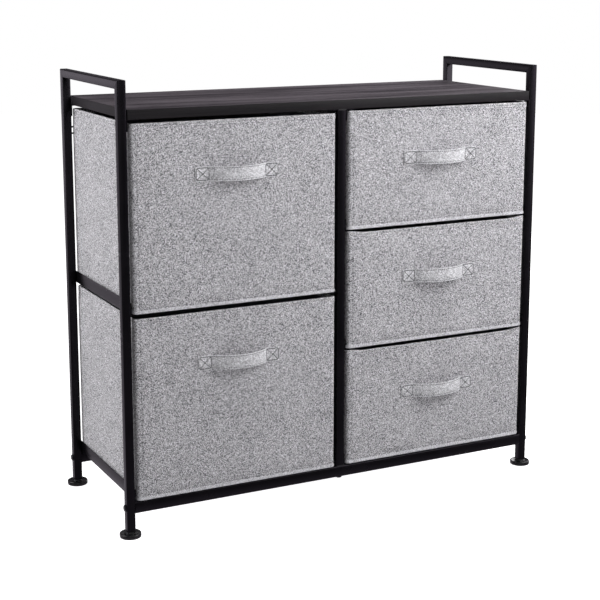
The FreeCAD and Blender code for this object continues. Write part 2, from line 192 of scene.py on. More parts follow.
@dataclass(frozen=True)
class PowderCoat(Finish):
    """Baked polyester powder on steel: satin black, with a fine orange peel that breaks up gloss."""

    colour: str = "#050506"
    polished: str = "#121114"
    roughness: tuple[float, float] = (0.21, 0.3)
    gloss: float = 0.19
    cast: tuple[float, float, float, float] = (0.93, 0.84, 1.0, 1.0)  # the tint of its gloss
    peel: float = 1.4 * MM
    peel_depth: float = 0.012 * MM
    drift: float = 60 * MM
    handled: float = 0.35   # the most polish away from the streaks
    rubbed: bool = False    # a ledge that the bins slide on shows polished streaks along Y
    rub_length: float = 70 * MM
    rub_width: float = 1.5 * MM
    rub_shine: float = 0.14  # how much less rough the streaks are
    ledge: tuple[float, float] = (0.8, 0.98)  # upward part of the normal where they start and are full

    def shader(self, tree: bpy.types.NodeTree) -> bpy.types.Node:
        """Wires the coat, with streaks on upward faces where it is rubbed.

        Args:
            tree: The material's node tree.

        Returns:
            The surface shader.
        """
        peel = self.cloud(tree, (self.peel,) * 3, octaves=1.0)
        bump = add(tree, "Bump", {"Strength": 1.0, "Distance": self.peel_depth, "Height": peel})
        dull = self.cloud(tree, (self.drift,) * 3, *self.roughness)
        tone = self.cloud(tree, (self.drift,) * 3, 0.0, self.handled)
        if self.rubbed:
            facing = add(tree, "SeparateXYZ", {0: add(tree, "TexCoord").outputs["Normal"]}).outputs[Z]
            upward = add(tree, "MapRange", {0: facing, 1: self.ledge[0], 2: self.ledge[1]}).outputs[0]
            worn = self.cloud(tree, (self.rub_width, self.rub_length, self.rub_width), soft=0.12)
            share = add(tree, "Math", {0: upward, 1: worn}, operation="MULTIPLY").outputs[0]
            tone = add(tree, "Math", {0: tone, 1: share}, operation="MAXIMUM").outputs[0]
            polish = {0: share, 1: -self.rub_shine, 2: dull}
            dull = add(tree, "Math", polish, operation="MULTIPLY_ADD").outputs[0]
        return self.dressed(tree, tone, self.colour, self.polished, {
            "Roughness": dull, "IOR": 1.5, "Specular IOR Level": self.gloss,
            "Specular Tint": self.cast, "Normal": bump.outputs[0]})


@dataclass(frozen=True)
class PlatedSteel(Finish):
    """Plated or blackened steel hardware: metallic, with fine turned streaks."""

    colour: str = "#8f9296"
    shade: str = "#6e7176"
    roughness: float = 0.32
    spread: tuple[float, float] = (0.08, 0.1)  # how much less and more rough it is in places
    streaks: tuple[float, float, float] = (2 * MM, 2 * MM, 0.35 * MM)
    streak_depth: float = 0.02 * MM
    stain: float = 6 * MM

    def shader(self, tree: bpy.types.NodeTree) -> bpy.types.Node:
        """Wires the plating with streaks across its height.

        Args:
            tree: The material's node tree.

        Returns:
            The surface shader.
        """
        turned = self.cloud(tree, self.streaks)
        bump = add(tree, "Bump", {"Strength": 0.4, "Distance": self.streak_depth, "Height": turned})
        less, more = self.spread
        dull = self.cloud(tree, self.streaks, self.roughness - less, self.roughness + more)
        return self.dressed(tree, self.cloud(tree, (self.stain,) * 3), self.colour, self.shade, {
            "Metallic": 1.0, "Roughness": dull, "Normal": bump.outputs[0]})


@dataclass(frozen=True)
class MouldedPlastic(Finish):
    """Injection-moulded black polypropylene: glossy, with faint flow marks from the mould."""

    colour: str = "#0a0a0b"
    shade: str = "#151516"
    roughness: float = 0.24
    spread: tuple[float, float] = (0.05, 0.08)  # how much less and more rough it is in places
    flow: tuple[float, float, float] = (5 * MM, 5 * MM, 5 * MM / 3)
    tooling: float = 0.5 * MM
    tooling_depth: float = 0.02 * MM

    def shader(self, tree: bpy.types.NodeTree) -> bpy.types.Node:
        """Wires the plastic with its flow marks and the mould's tooling.

        Args:
            tree: The material's node tree.

        Returns:
            The surface shader.
        """
        tooling = self.cloud(tree, (self.tooling,) * 3, octaves=1.0)
        bump = add(tree, "Bump", {"Strength": 0.5, "Distance": self.tooling_depth, "Height": tooling})
        less, more = self.spread
        dull = self.cloud(tree, self.flow, self.roughness - less, self.roughness + more)
        return self.dressed(tree, self.cloud(tree, self.flow), self.colour, self.shade, {
            "IOR": 1.49, "Roughness": dull, "Normal": bump.outputs[0]})


@dataclass(frozen=True)
class WoodPrintLaminate(Finish):
    """Melamine paper printed with espresso wood grain and pressed with fine pores along X."""

    dark: str = "#262126"
    light: str = "#6f686e"
    pore: str = "#1a1719"
    roughness: float = 0.42
    grain_dull: float = 0.06   # how much rougher the light grain is
    gloss: float = 0.12
    figure: tuple[float, float, float] = (420 * MM, 38 * MM, 38 * MM)
    fibre: tuple[float, float, float] = (70 * MM, 1.8 * MM, 1.8 * MM)
    fibre_tone: float = 0.45   # how far the fibres stray from the figure's tone
    pores: tuple[float, float, float] = (16 * MM, 1.1 * MM, 1.1 * MM)
    pore_rim: tuple[float, float] = (0.74, 0.9)  # where in the noise a pore starts and is full
    pore_depth: float = 0.05 * MM

    def shader(self, tree: bpy.types.NodeTree) -> bpy.types.Node:
        """Wires the figure, the fibres and the pressed pores.

        Args:
            tree: The material's node tree.

        Returns:
            The surface shader.
        """
        figure = self.cloud(tree, self.figure, octaves=5.0, soft=0.2)
        fibre = self.cloud(tree, self.fibre, -self.fibre_tone, self.fibre_tone)
        tone = add(tree, "Math", {0: figure, 1: fibre}, operation="ADD", use_clamp=True).outputs[0]
        paper = add(tree, "Mix", {0: tone, A: linear(self.dark), B: linear(self.light)}, data_type="RGBA")
        place = self.cloud(tree, self.pores, octaves=1.0)
        pits = add(tree, "MapRange", {0: place, 1: self.pore_rim[0], 2: self.pore_rim[1]}).outputs[0]
        pitted = {0: pits, A: paper.outputs[MIXED], B: linear(self.pore)}
        wood = add(tree, "Mix", pitted, data_type="RGBA")
        relief = add(tree, "Math", {0: fibre, 1: pits}, operation="SUBTRACT").outputs[0]
        bump = add(tree, "Bump", {"Strength": 0.6, "Distance": self.pore_depth, "Height": relief})
        share = {0: figure, 1: self.grain_dull, 2: self.roughness}
        dull = add(tree, "Math", share, operation="MULTIPLY_ADD").outputs[0]
        return add(tree, "BsdfPrincipled", {
            "Base Color": wood.outputs[MIXED], "Roughness": dull, "IOR": 1.5,
            "Specular IOR Level": self.gloss, "Normal": bump.outputs[0]})


@dataclass(frozen=True)
class HeatherWeave(Finish):
    """Plain-woven linen-look polyester: light and dark yarns give it a salt-and-pepper grain.

    The real yarns are 0.6 mm apart; they are drawn 0.85 mm apart, as coarse as they need to show.
    """

    dark: str = "#4e4d51"
    light: str = "#e4e2e7"
    yarn: float = 0.85 * MM
    wander: float = 2.4        # in yarns, how far the yarns stray from straight
    wander_size: float = 5 * MM
    slub: float = 9 * MM
    slub_tone: float = 0.1     # how far a slub strays from the cloth's tone
    contrast: float = 2.1
    patch: float = 75 * MM
    patch_tone: float = 0.07
    relief: float = 0.2 * MM
    dive: float = 0.5          # how far of its height a yarn goes down under the next one
    uneven: float = 0.3        # how much higher some crossings stand than others

    def shader(self, tree: bpy.types.NodeTree) -> bpy.types.Node:
        """Wires the yarns, their slubs, the broad patches of tone and the weave's relief.

        Args:
            tree: The material's node tree.

        Returns:
            The surface shader.
        """
        cloth = add(tree, "UVMap", uv_map=CLOTH_MAP).outputs[0]
        stray = add(tree, "TexNoise", {"Vector": cloth, "Scale": 1 / self.wander_size, "Detail": 0.0})
        scaled = add(tree, "VectorMath", {0: cloth, "Scale": 1 / self.yarn}, operation="SCALE").outputs[0]
        reach = {0: stray.outputs["Color"], 1: (self.wander, self.wander, 0), 2: scaled}
        yarns = add(tree, "VectorMath", reach, operation="MULTIPLY_ADD").outputs[0]
        crossing = add(tree, "VectorMath", {0: yarns}, operation="FLOOR").outputs[0]
        speck = add(tree, "TexWhiteNoise", {0: crossing}, noise_dimensions="2D").outputs[0]
        weft = self.slubs(tree, cloth, (self.slub, self.yarn))
        warp = self.slubs(tree, cloth, (self.yarn, self.slub))
        patch = self.cloud(tree, (self.patch,) * 3, -self.patch_tone, self.patch_tone, octaves=1.5)
        tone = add(tree, "Math", {0: speck, 1: 0.5}, operation="SUBTRACT").outputs[0]
        tone = add(tree, "Math", {0: tone, 1: self.contrast, 2: 0.5}, operation="MULTIPLY_ADD").outputs[0]
        for part in (weft, warp, patch):
            parts = {0: tone, 1: part}
            tone = add(tree, "Math", parts, operation="ADD", use_clamp=part is patch).outputs[0]
        return self.dressed(tree, tone, self.dark, self.light, {
            "Roughness": 0.92, "Specular IOR Level": 0.18, "Sheen Weight": 0.12, "Sheen Roughness": 0.5,
            "Normal": self.crossings(tree, yarns, crossing, speck)})

    def slubs(self, tree: bpy.types.NodeTree, cloth: bpy.types.NodeSocket,
              size: tuple[float, float]) -> bpy.types.NodeSocket:
        """Lays soft lighter and darker lengths of yarn along one way of the cloth.

        Args:
            tree: The material's node tree.
            cloth: The place on the cloth.
            size: Length of a slub along both ways of the cloth.

        Returns:
            The socket of a tone around 0.
        """
        scale = (1 / size[0], 1 / size[1], 0)
        scaled = add(tree, "VectorMath", {0: cloth, 1: scale}, operation="MULTIPLY").outputs[0]
        streak = add(tree, "TexNoise", {"Vector": scaled, "Scale": 1.0, "Detail": 1.0}).outputs[0]
        span = {0: streak, 1: 0.25, 2: 0.75, 3: -self.slub_tone, 4: self.slub_tone}
        return add(tree, "MapRange", span).outputs[0]

    def crossings(self, tree: bpy.types.NodeTree, yarns: bpy.types.NodeSocket,
                  crossing: bpy.types.NodeSocket, speck: bpy.types.NodeSocket) -> bpy.types.NodeSocket:
        """Raises the yarn on top at each crossing: the weft and the warp by turns.

        Args:
            tree: The material's node tree.
            yarns: The place on the cloth, counted in yarns.
            crossing: The corner of the crossing that it lies in.
            speck: A random value for each crossing.

        Returns:
            The socket of the bumped normal.
        """
        count = add(tree, "VectorMath", {0: crossing, 1: (1, 1, 0)}, operation="DOT_PRODUCT")
        pair = {0: count.outputs["Value"], 1: 2.0}
        turn = add(tree, "Math", pair, operation="FLOORED_MODULO").outputs[0]
        parts = add(tree, "SeparateXYZ", {0: yarns}).outputs
        swell = []
        for way in (X, Y):
            angle = add(tree, "Math", {0: parts[way], 1: math.pi}, operation="MULTIPLY").outputs[0]
            wave = add(tree, "Math", {0: angle}, operation="SINE").outputs[0]
            swell.append(add(tree, "Math", {0: wave}, operation="ABSOLUTE").outputs[0])
        across = add(tree, "Mix", {0: turn, 2: swell[Y], 3: swell[X]}).outputs[0]
        along = add(tree, "Mix", {0: turn, 2: swell[X], 3: swell[Y]}).outputs[0]
        dip = {0: along, 1: self.dive, 2: 1 - self.dive}
        crown = add(tree, "Math", dip, operation="MULTIPLY_ADD").outputs[0]
        yarn = add(tree, "Math", {0: across, 1: crown}, operation="MULTIPLY").outputs[0]
        lifted = {0: speck, 1: self.uneven, 2: yarn}
        height = add(tree, "Math", lifted, operation="MULTIPLY_ADD").outputs[0]
        return add(tree, "Bump", {"Strength": 0.7, "Distance": self.relief, "Height": height}).outputs[0]


@dataclass(frozen=True)
class NonwovenLining(Finish):
    """Spunbonded polypropylene lining: matt mid grey, embossed with small bonding dots."""

    colour: str = "#77777b"
    shade: str = "#66666a"
    fibre: float = 3 * MM
    dot: float = 2.6 * MM
    dot_rim: tuple[float, float] = (0.12, 0.3)  # in dots from its middle, where its dent rises
    dot_depth: float = 0.15 * MM

    def shader(self, tree: bpy.types.NodeTree) -> bpy.types.Node:
        """Wires the fibres and the embossed dots.

        Args:
            tree: The material's node tree.

        Returns:
            The surface shader.
        """
        place = add(tree, "TexCoord").outputs["Object"]
        dots = add(tree, "TexVoronoi", {"Vector": place, "Scale": 1 / self.dot, "Randomness": 0.15})
        rise = {0: dots.outputs["Distance"], 1: self.dot_rim[0], 2: self.dot_rim[1]}
        dent = add(tree, "MapRange", rise).outputs[0]
        bump = add(tree, "Bump", {"Strength": 0.6, "Distance": self.dot_depth, "Height": dent})
        fibres = self.cloud(tree, (self.fibre,) * 3, octaves=4.0)
        return self.dressed(tree, fibres, self.colour, self.shade, {
            "Roughness": 0.85, "Specular IOR Level": 0.25, "Normal": bump.outputs[0]})


@dataclass(frozen=True)
class SewingThread(Finish):
    """Twisted polyester thread: a soft sheen, lighter on the crown of each twist."""

    colour: str = "#b4b4b8"
    shade: str = "#8a8a8e"
    twist: float = 0.5 * MM

    def shader(self, tree: bpy.types.NodeTree) -> bpy.types.Node:
        """Wires the twist as light and dark along the thread.

        Args:
            tree: The material's node tree.

        Returns:
            The surface shader.
        """
        twist = self.cloud(tree, (self.twist,) * 3, octaves=1.0)
        return self.dressed(tree, twist, self.colour, self.shade, {"Roughness": 0.6, "Sheen Weight": 0.2})


@dataclass(frozen=True)
class PressedBoard(Finish):
    """Pressed wood fibre: warm brown with fine flecks and a flat, slightly burnished face."""

    colour: str = "#8a6d4f"
    shade: str = "#6b523a"
    flecks: tuple[float, float, float] = (3.2 * MM, 3.2 * MM, 1.6 * MM)
    fleck_depth: float = 0.06 * MM

    def shader(self, tree: bpy.types.NodeTree) -> bpy.types.Node:
        """Wires the flecks and their relief.

        Args:
            tree: The material's node tree.

        Returns:
            The surface shader.
        """
        flecks = self.cloud(tree, self.flecks, octaves=4.0)
        bump = add(tree, "Bump", {"Strength": 0.5, "Distance": self.fleck_depth, "Height": flecks})
        return self.dressed(tree, flecks, self.colour, self.shade, {
            "Roughness": 0.7, "Normal": bump.outputs[0]})


TUBE_COAT = PowderCoat("black_powder_coated_tube")
SHEET_COAT = PowderCoat("black_powder_coated_sheet", rubbed=True)
BLACK_OXIDE = PlatedSteel("black_oxide_steel", "#2b2b2e", "#1b1b1d", 0.36)
ZINC_PLATE = PlatedSteel("zinc_plated_steel")
FOOT_PLASTIC = MouldedPlastic("moulded_black_polypropylene")
PLUG_PLASTIC = MouldedPlastic("moulded_black_plug", roughness=0.42)
BOARD_LAMINATE = WoodPrintLaminate("espresso_wood_print_laminate")
# The edge bands are the top's wood print drawn darker: painted shade on the board's upright edges.
BOARD_EDGING_PAINTED_SHADE = WoodPrintLaminate("espresso_wood_print_edging", "#100e10", "#1d1a1d", roughness=0.5,
                                 gloss=0.2)
BIN_CLOTH = HeatherWeave("heather_grey_linen_weave")
# The hem is the bins' weave drawn a little lighter: painted light, for the light that the rim catches.
HEM_CLOTH_PAINTED_LIGHT = HeatherWeave("heather_grey_folded_hem", "#57565a", "#e9e7ec")
# The binding is drawn much lighter than the walls: partly the tape's own tone, partly painted light for
# the light that its lip catches.
BINDING_CLOTH_PAINTED_LIGHT = HeatherWeave("heather_grey_seam_binding", "#8d8c91", "#edecf1", contrast=1.0)
# The strap is the bins' weave drawn lighter: painted light, for the light that its bow catches.
STRAP_CLOTH_PAINTED_LIGHT = HeatherWeave("heather_grey_strap_weave", "#8e8d92", "#f0eff3", contrast=2.2)
LINING = NonwovenLining("grey_nonwoven_lining")
# The seam thread is drawn dark: partly its own grey, partly painted shade for the shade in its stitch
# holes.
SEAM_THREAD_PAINTED_SHADE = SewingThread("grey_thread_painted_hole_shade", "#414045", "#28272b")
BOX_THREAD = SewingThread("charcoal_sewing_thread", "#343438", "#1e1e21")
# Pale thread along the strap's folded edges: a painted highlight, for the light that those edges catch.
PALE_THREAD_PAINTED_HIGHLIGHT = SewingThread("pale_thread_painted_highlight", "#efeef2", "#d6d5da")
HARDBOARD = PressedBoard("pressed_fibre_hardboard")


# ---- Mesh helpers ----
def add_block(mesh: bmesh.types.BMesh, low: Vector, high: Vector) -> list[bmesh.types.BMVert]:
    """Adds a box between two corners.

    Args:
        mesh: The mesh that it joins.
        low: Its lowest corner.
        high: Its highest corner.

    Returns:
        Its vertices.
    """
    size = Vector(high) - Vector(low)
    place = Matrix.Translation((Vector(low) + Vector(high)) / 2) @ Matrix.Diagonal((*size, 1))
    return bmesh.ops.create_cube(mesh, size=1.0, matrix=place)["verts"]


def block(low: Vector, high: Vector) -> bmesh.types.BMesh:
    """Starts a mesh with one box in it.

    Args:
        low: The box's lowest corner.
        high: Its highest corner.

    Returns:
        The mesh.
    """
    made = bmesh.new()
    add_block(made, low, high)
    return made


def edges_along(mesh: bmesh.types.BMesh, axis: int) -> list[bmesh.types.BMEdge]:
    """The edges that run along an axis."""
    return [e for e in mesh.edges if abs((e.verts[1].co - e.verts[0].co).normalized()[axis]) > ALONG]


def caps(mesh: bmesh.types.BMesh, *ways: Vector) -> list[bmesh.types.BMFace]:
    """The faces whose normals point any of the given ways."""
    mesh.normal_update()
    return [f for f in mesh.faces if any(f.normal.dot(way) > FACING for way in ways)]


def edges_of(faces: list[bmesh.types.BMFace]) -> list[bmesh.types.BMEdge]:
    """The edges round some faces, each once."""
    return list({e: None for f in faces for e in f.edges})


def round_off(mesh: bmesh.types.BMesh, edges: list[bmesh.types.BMEdge], radius: float,
              segments: int = 3) -> None:
    """Rounds edges to a radius."""
    bmesh.ops.bevel(mesh, geom=edges, offset=radius, offset_type="OFFSET", affect="EDGES",
                    segments=segments, profile=0.5, material=-1)


def cut_across(mesh: bmesh.types.BMesh, axis: int, places: list[float]) -> None:
    """Adds loops of edges where planes across an axis pass.

    Args:
        mesh: The mesh to cut.
        axis: The axis that the planes stand across.
        places: Where along the axis they stand.
    """
    for place in places:
        geometry = mesh.verts[:] + mesh.edges[:] + mesh.faces[:]
        bmesh.ops.bisect_plane(mesh, geom=geometry, dist=TOUCH, plane_co=AXES[axis] * place,
                               plane_no=AXES[axis])


def steps(low: float, high: float, spacing: float) -> list[float]:
    """Places between two ends, about a spacing apart, with neither end among them."""
    count = max(1, round((high - low) / spacing))
    return [low + (high - low) * i / count for i in range(1, count)]


def smooth_step(value: float) -> float:
    """A smooth rise from 0 to 1."""
    held = min(1.0, max(0.0, value))
    return held * held * (3 - 2 * held)


def lay_cloth(mesh: bmesh.types.BMesh) -> None:
    """Gives each face its place on the cloth, in metres, seen along the axis that it faces most.

    Args:
        mesh: The mesh, before the cloth is moved out of the flat.
    """
    layer = mesh.loops.layers.uv.new(CLOTH_MAP)
    mesh.normal_update()
    for face in mesh.faces:
        sizes = [abs(part) for part in face.normal]
        facing = sizes.index(max(sizes))
        across, along = {X: (Y, Z), Y: (X, Z), Z: (X, Y)}[facing]
        for loop in face.loops:
            loop[layer].uv = (loop.vert.co[across] + round(face.normal[facing]), loop.vert.co[along])


def extrude(mesh: bmesh.types.BMesh, faces: list[bmesh.types.BMFace], run: Vector) -> None:
    """Runs flat faces out into a solid.

    Args:
        mesh: The mesh, with nothing else in it.
        faces: Its faces.
        run: How far and which way they run.
    """
    far = bmesh.ops.extrude_face_region(mesh, geom=faces)["geom"]
    moved = [v for v in far if isinstance(v, bmesh.types.BMVert)]
    bmesh.ops.translate(mesh, verts=moved, vec=run)
    bmesh.ops.recalc_face_normals(mesh, faces=mesh.faces[:])


def join_to(mesh: bmesh.types.BMesh, part: bmesh.types.BMesh) -> None:
    """Adds a part's faces to a mesh and frees the part.

    Args:
        mesh: The mesh that grows.
        part: The part.
    """
    data = bpy.data.meshes.new("part")
    part.to_mesh(data)
    part.free()
    mesh.from_mesh(data)
    bpy.data.meshes.remove(data)


def set_up(name: str, data: bpy.types.ID) -> bpy.types.Object:
    """Puts a new object into the scene.

    Args:
        name: Its name.
        data: Its mesh, light or camera.

    Returns:
        The object.
    """
    made = bpy.data.objects.new(name, data)
    bpy.context.scene.collection.objects.link(made)
    return made


def hand_over(mesh: bmesh.types.BMesh, name: str, body: str, slot: str, finish: Finish,
              *replaced: str) -> bpy.types.Object:
    """Turns a mesh into a finished piece that rides on its body.

    Args:
        mesh: The mesh, which is freed.
        name: The piece's name.
        body: The CAD body that it rides on.
        slot: The record's material slot; not used.
        finish: Its finish.
        *replaced: The CAD nodes that it stands for.

    Returns:
        The piece.
    """
    data = bpy.data.meshes.new(name)
    mesh.to_mesh(data)
    mesh.free()
    data.shade_smooth()
    data.set_sharp_from_angle(angle=CRISP)
    piece = set_up(name, data)
    data.materials.append(finish.material())
    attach(piece, body)
    if replaced:
        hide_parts(*replaced)
    LOG.info("%s: %d faces, %s", name, len(data.polygons), finish.name)
    return piece


def paint(node: str, slot: str, finish: Finish) -> None:
    """Gives a CAD node that stays in sight its finish.

    Args:
        node: The node's name.
        slot: The record's material slot; not used.
        finish: Its finish.
    """
    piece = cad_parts[node]
    piece.data.materials.clear()
    piece.data.materials.append(finish.material())
    LOG.info("%s: CAD node, %s", node, finish.name)


# ---- Frame ----
TUBE_CORNER = 2.0 * MM  # radius of the square tubes' long edges


@dataclass
class EndFrame:
    """Two square-tube posts with a handle tube mitred and welded across their tops."""

    side: Side
    corner: float = TUBE_CORNER
    weld_line: float = 0.2 * MM              # width of the line filed round a mitre
    mitre: tuple[float, float] = (0.6, 0.8)  # the upward part of its normal lies between these
    mitre_corners: int = 8                   # and it has more corners than these, unlike a rounded edge

    def build(self) -> None:
        """Builds both posts and the handle."""
        for end in End:
            self.post(end)
        self.handle()

    def post(self, end: End) -> None:
        """Builds a post, its top cut back at 45 degrees towards the other post.

        Args:
            end: Which post of the pair.
        """
        node = f"{word(self.side)}_{word(end)}_post"
        low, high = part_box(node)
        mesh = block(low, high)
        middle = (low.y + high.y) / 2
        inner = [v for v in mesh.verts if v.co.z > high.z - TOUCH and (v.co.y - middle) * end.value < 0]
        bmesh.ops.translate(mesh, verts=inner, vec=UP * (low.y - high.y))
        self.finish_tube(mesh, Z, node)

    def handle(self) -> None:
        """Builds the handle tube, cut at 45 degrees at both ends."""
        node = f"{word(self.side)}_handle_tube"
        low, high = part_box(node)
        mesh = block(low, high)
        for vert in mesh.verts:
            if vert.co.z < high.z - TOUCH:
                vert.co.y -= math.copysign(high.z - low.z, vert.co.y)
        self.finish_tube(mesh, Y, node)

    def finish_tube(self, mesh: bmesh.types.BMesh, axis: int, node: str) -> None:
        """Rounds a tube's long edges and files a fine line round its mitres.

        Args:
            mesh: The tube as a bare prism.
            axis: The axis along it.
            node: The CAD node that it stands for.
        """
        round_off(mesh, edges_along(mesh, axis), self.corner, 4)
        mesh.normal_update()
        level, steep = self.mitre
        mitres = [f for f in mesh.faces
                  if level < abs(f.normal.z) < steep and len(f.verts) > self.mitre_corners]
        round_off(mesh, edges_of(mitres), self.weld_line, 1)
        hand_over(mesh, node + "_coated", "frame", "black_tube_steel", TUBE_COAT, node)


@dataclass
class FrameBar:
    """A straight tube of the frame: a bottom rail or a centre upright."""

    node: str
    axis: int
    corner: float = TUBE_CORNER

    def build(self) -> None:
        """Builds the tube with its rounded corners."""
        mesh = block(*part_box(self.node))
        round_off(mesh, edges_along(mesh, self.axis), self.corner, 4)
        hand_over(mesh, self.node + "_coated", "frame", "black_tube_steel", TUBE_COAT, self.node)


@dataclass
class Runner:
    """A folded steel angle that carries one side of a bin."""

    node: str
    inward: int  # the sign along X that its ledge points to
    sheet: float = 1.2 * MM
    bend: float = 1.8 * MM
    burr: float = 0.35 * MM  # radius of the sheared edges

    def build(self) -> None:
        """Draws the angle's outline, runs it along Y and rounds the bend and the sheared edges."""
        low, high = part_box(self.node)
        face, tip = (low.x, high.x) if self.inward > 0 else (high.x, low.x)
        inner, ledge = face + self.inward * self.sheet, low.z + self.sheet
        mesh = bmesh.new()
        outline = ((face, low.z), (tip, low.z), (tip, ledge),
                   (inner, ledge), (inner, high.z), (face, high.z))
        start = mesh.faces.new([mesh.verts.new((x, low.y, z)) for x, z in outline])
        extrude(mesh, [start], AXES[Y] * (high.y - low.y))
        bends = self.at(mesh, face, low.z) + self.at(mesh, inner, ledge)
        round_off(mesh, [e for e in edges_along(mesh, Y) if e not in bends], self.burr, 2)
        round_off(mesh, self.at(mesh, face, low.z), self.bend, 4)
        round_off(mesh, self.at(mesh, inner, ledge), self.bend - self.sheet, 3)
        hand_over(mesh, self.node + "_folded", "frame", "black_sheet_steel", SHEET_COAT, self.node)

    @staticmethod
    def at(mesh: bmesh.types.BMesh, x: float, z: float) -> list[bmesh.types.BMEdge]:
        """The long edges that lie at a given x and z."""
        return [e for e in edges_along(mesh, Y)
                if all(math.hypot(v.co.x - x, v.co.z - z) < TOUCH for v in e.verts)]


@dataclass
class Board:
    """The laminated top board with its glued edge bands."""

    band: float = 0.6 * MM
    arris: float = 0.15 * MM

    def build(self) -> None:
        """Builds the core with its laminate, and the four bands round it."""
        core = block(*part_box("board_core"))
        round_off(core, core.edges[:], self.arris, 1)
        hand_over(core, "board_core_laminated", "frame", "board_laminate", BOARD_LAMINATE, "board_core")
        low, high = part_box("board_edge_band")
        overlap = AXES[Y] * self.band
        bands = bmesh.new()
        for far, inward in ((low, self.band), (high, -self.band)):
            self.strip(bands, Vector((low.x, far.y, low.z)), Vector((high.x, far.y + inward, high.z)))
            start = Vector((far.x, low.y, low.z)) + overlap
            self.strip(bands, start, Vector((far.x + inward, high.y, high.z)) - overlap)
        hand_over(bands, "board_edge_bands_glued", "frame", "board_edging", BOARD_EDGING_PAINTED_SHADE,
                  "board_edge_band")

    def strip(self, bands: bmesh.types.BMesh, start: Vector, end: Vector) -> None:
        """Adds one band, its edges trimmed to a small radius.

        Args:
            bands: The mesh of all bands.
            start: A corner of the band.
            end: The corner opposite.
        """
        low = Vector([min(pair) for pair in zip(start, end)])
        high = Vector([max(pair) for pair in zip(start, end)])
        piece = block(low, high)
        round_off(piece, piece.edges[:], self.arris, 2)
        join_to(bands, piece)


@dataclass
class LevellingFoot:
    """A moulded pad on a threaded stud."""

    end: End
    side: Side
    edge: float = 1.4 * MM    # radius of the pad's rims
    margin: float = 1.2 * MM  # the level ring inside its upper rim
    step: float = 0.8 * MM    # width of the slope down from there
    dish: float = 0.5 * MM    # and its depth
    neck: float = 8.6 * MM    # radius of the boss at its foot
    boss: float = 0.6 * MM    # width of the slope up to its top

    def build(self) -> None:
        """Builds the pad, with a dished top round the stud's boss, and paints the stud."""
        name = f"{word(self.end)}_{word(self.side)}_foot"
        low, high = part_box(name + "_pad")
        radius = (high.x - low.x) / 2
        mesh = bmesh.new()
        bmesh.ops.create_cone(mesh, cap_ends=True, segments=72, radius1=radius, radius2=radius,
                              depth=high.z - low.z, matrix=Matrix.Translation((low + high) / 2))
        round_off(mesh, edges_of(caps(mesh, UP, -UP)), self.edge, 5)
        top = caps(mesh, UP)
        flat = radius - self.edge - self.margin - self.step - self.neck
        rings = ((self.margin, 0.0), (self.step, -self.dish), (flat, 0.0), (self.boss, self.dish))
        for inset, rise in rings:
            bmesh.ops.inset_region(mesh, faces=top, thickness=inset, depth=rise)
        hand_over(mesh, name + "_pad_moulded", name, "foot_plastic", FOOT_PLASTIC, name + "_pad")
        paint(name + "_stud", "stud_steel", ZINC_PLATE)


# ---- Bins ----
@dataclass
class ClothForm:
    """How a bin's sewn walls leave the flat: puffed by their boards, drawn in at the seams."""

    low: Vector
    high: Vector
    seed: float
    puff: float = 1.1 * MM
    hold: float = 2 * MM       # beside a seam, where the cloth lies flat
    ease: float = 14 * MM      # over which the puff rises from there
    hem: float = 10 * MM       # the stretch below the rim that the hem holds flat
    wave: float = 1.3 * MM
    wave_size: float = 95 * MM
    wave_hold: float = 4 * MM  # beside a seam, where no wave shows
    wave_ease: float = 35 * MM
    ripple: float = 0.45       # height of the finer waves, as a share of the broad ones
    ripples: float = 2.3       # and how many of them lie on a broad one
    grip: float = 7 * MM       # depth through which a wall moves as one
    fade: float = 8 * MM       # and over which that dies away
    flare: float = 1.2 * MM    # how far the side walls stand out at the rear, below the hem
    flare_run: float = 30 * MM
    climb: float = 0.0         # how much higher the rim stands over the side walls
    climb_hold: float = 4 * MM
    climb_run: float = 30 * MM

    def lean(self, point: Vector, axis: int, way: int) -> float:
        """How far one wall stands out of its plane.

        Args:
            point: The point, in the flat.
            axis: The wall's normal axis, X or Y.
            way: Which way it faces along that axis.

        Returns:
            The distance outward in metres, 0 away from the wall.
        """
        plane = self.high[axis] if way > 0 else self.low[axis]
        share = min(1.0, 1 - (abs(point[axis] - plane) - self.grip) / self.fade)
        if share <= 0:
            return 0.0
        other = Y if axis == X else X
        side = min(point[other] - self.low[other], self.high[other] - point[other], point.z - self.low.z)
        rise = smooth_step((min(side, self.high.z - self.hem - point.z) - self.hold) / self.ease)
        free = smooth_step((side - self.wave_hold) / self.wave_ease)
        place = Vector((point[other], point.z, self.seed + plane)) / self.wave_size
        swell = noise.noise(place) + self.ripple * noise.noise(place * self.ripples)
        depth = (point.y - self.low.y) / (self.high.y - self.low.y)
        below = (self.high.z - point.z) / self.flare_run
        flare = self.flare * smooth_step(depth) * smooth_step(below) if axis == X else 0.0
        return share * (self.puff * rise + self.wave * free * swell + flare)

    def shaped(self, point: Vector) -> Vector:
        """Moves a point with the walls near it.

        Args:
            point: The point, in the flat.

        Returns:
            Where it comes to lie.
        """
        moved = point.copy()
        for axis in (X, Y):
            for way in (-1, 1):
                moved[axis] += way * self.lean(point, axis, way)
        away = min(point.x - self.low.x, self.high.x - point.x) - self.climb_hold
        below = self.high.z - point.z
        share = (1 - smooth_step(away / self.climb_run)) * (1 - smooth_step(below / self.climb_run))
        moved.z += self.climb * share
        return moved


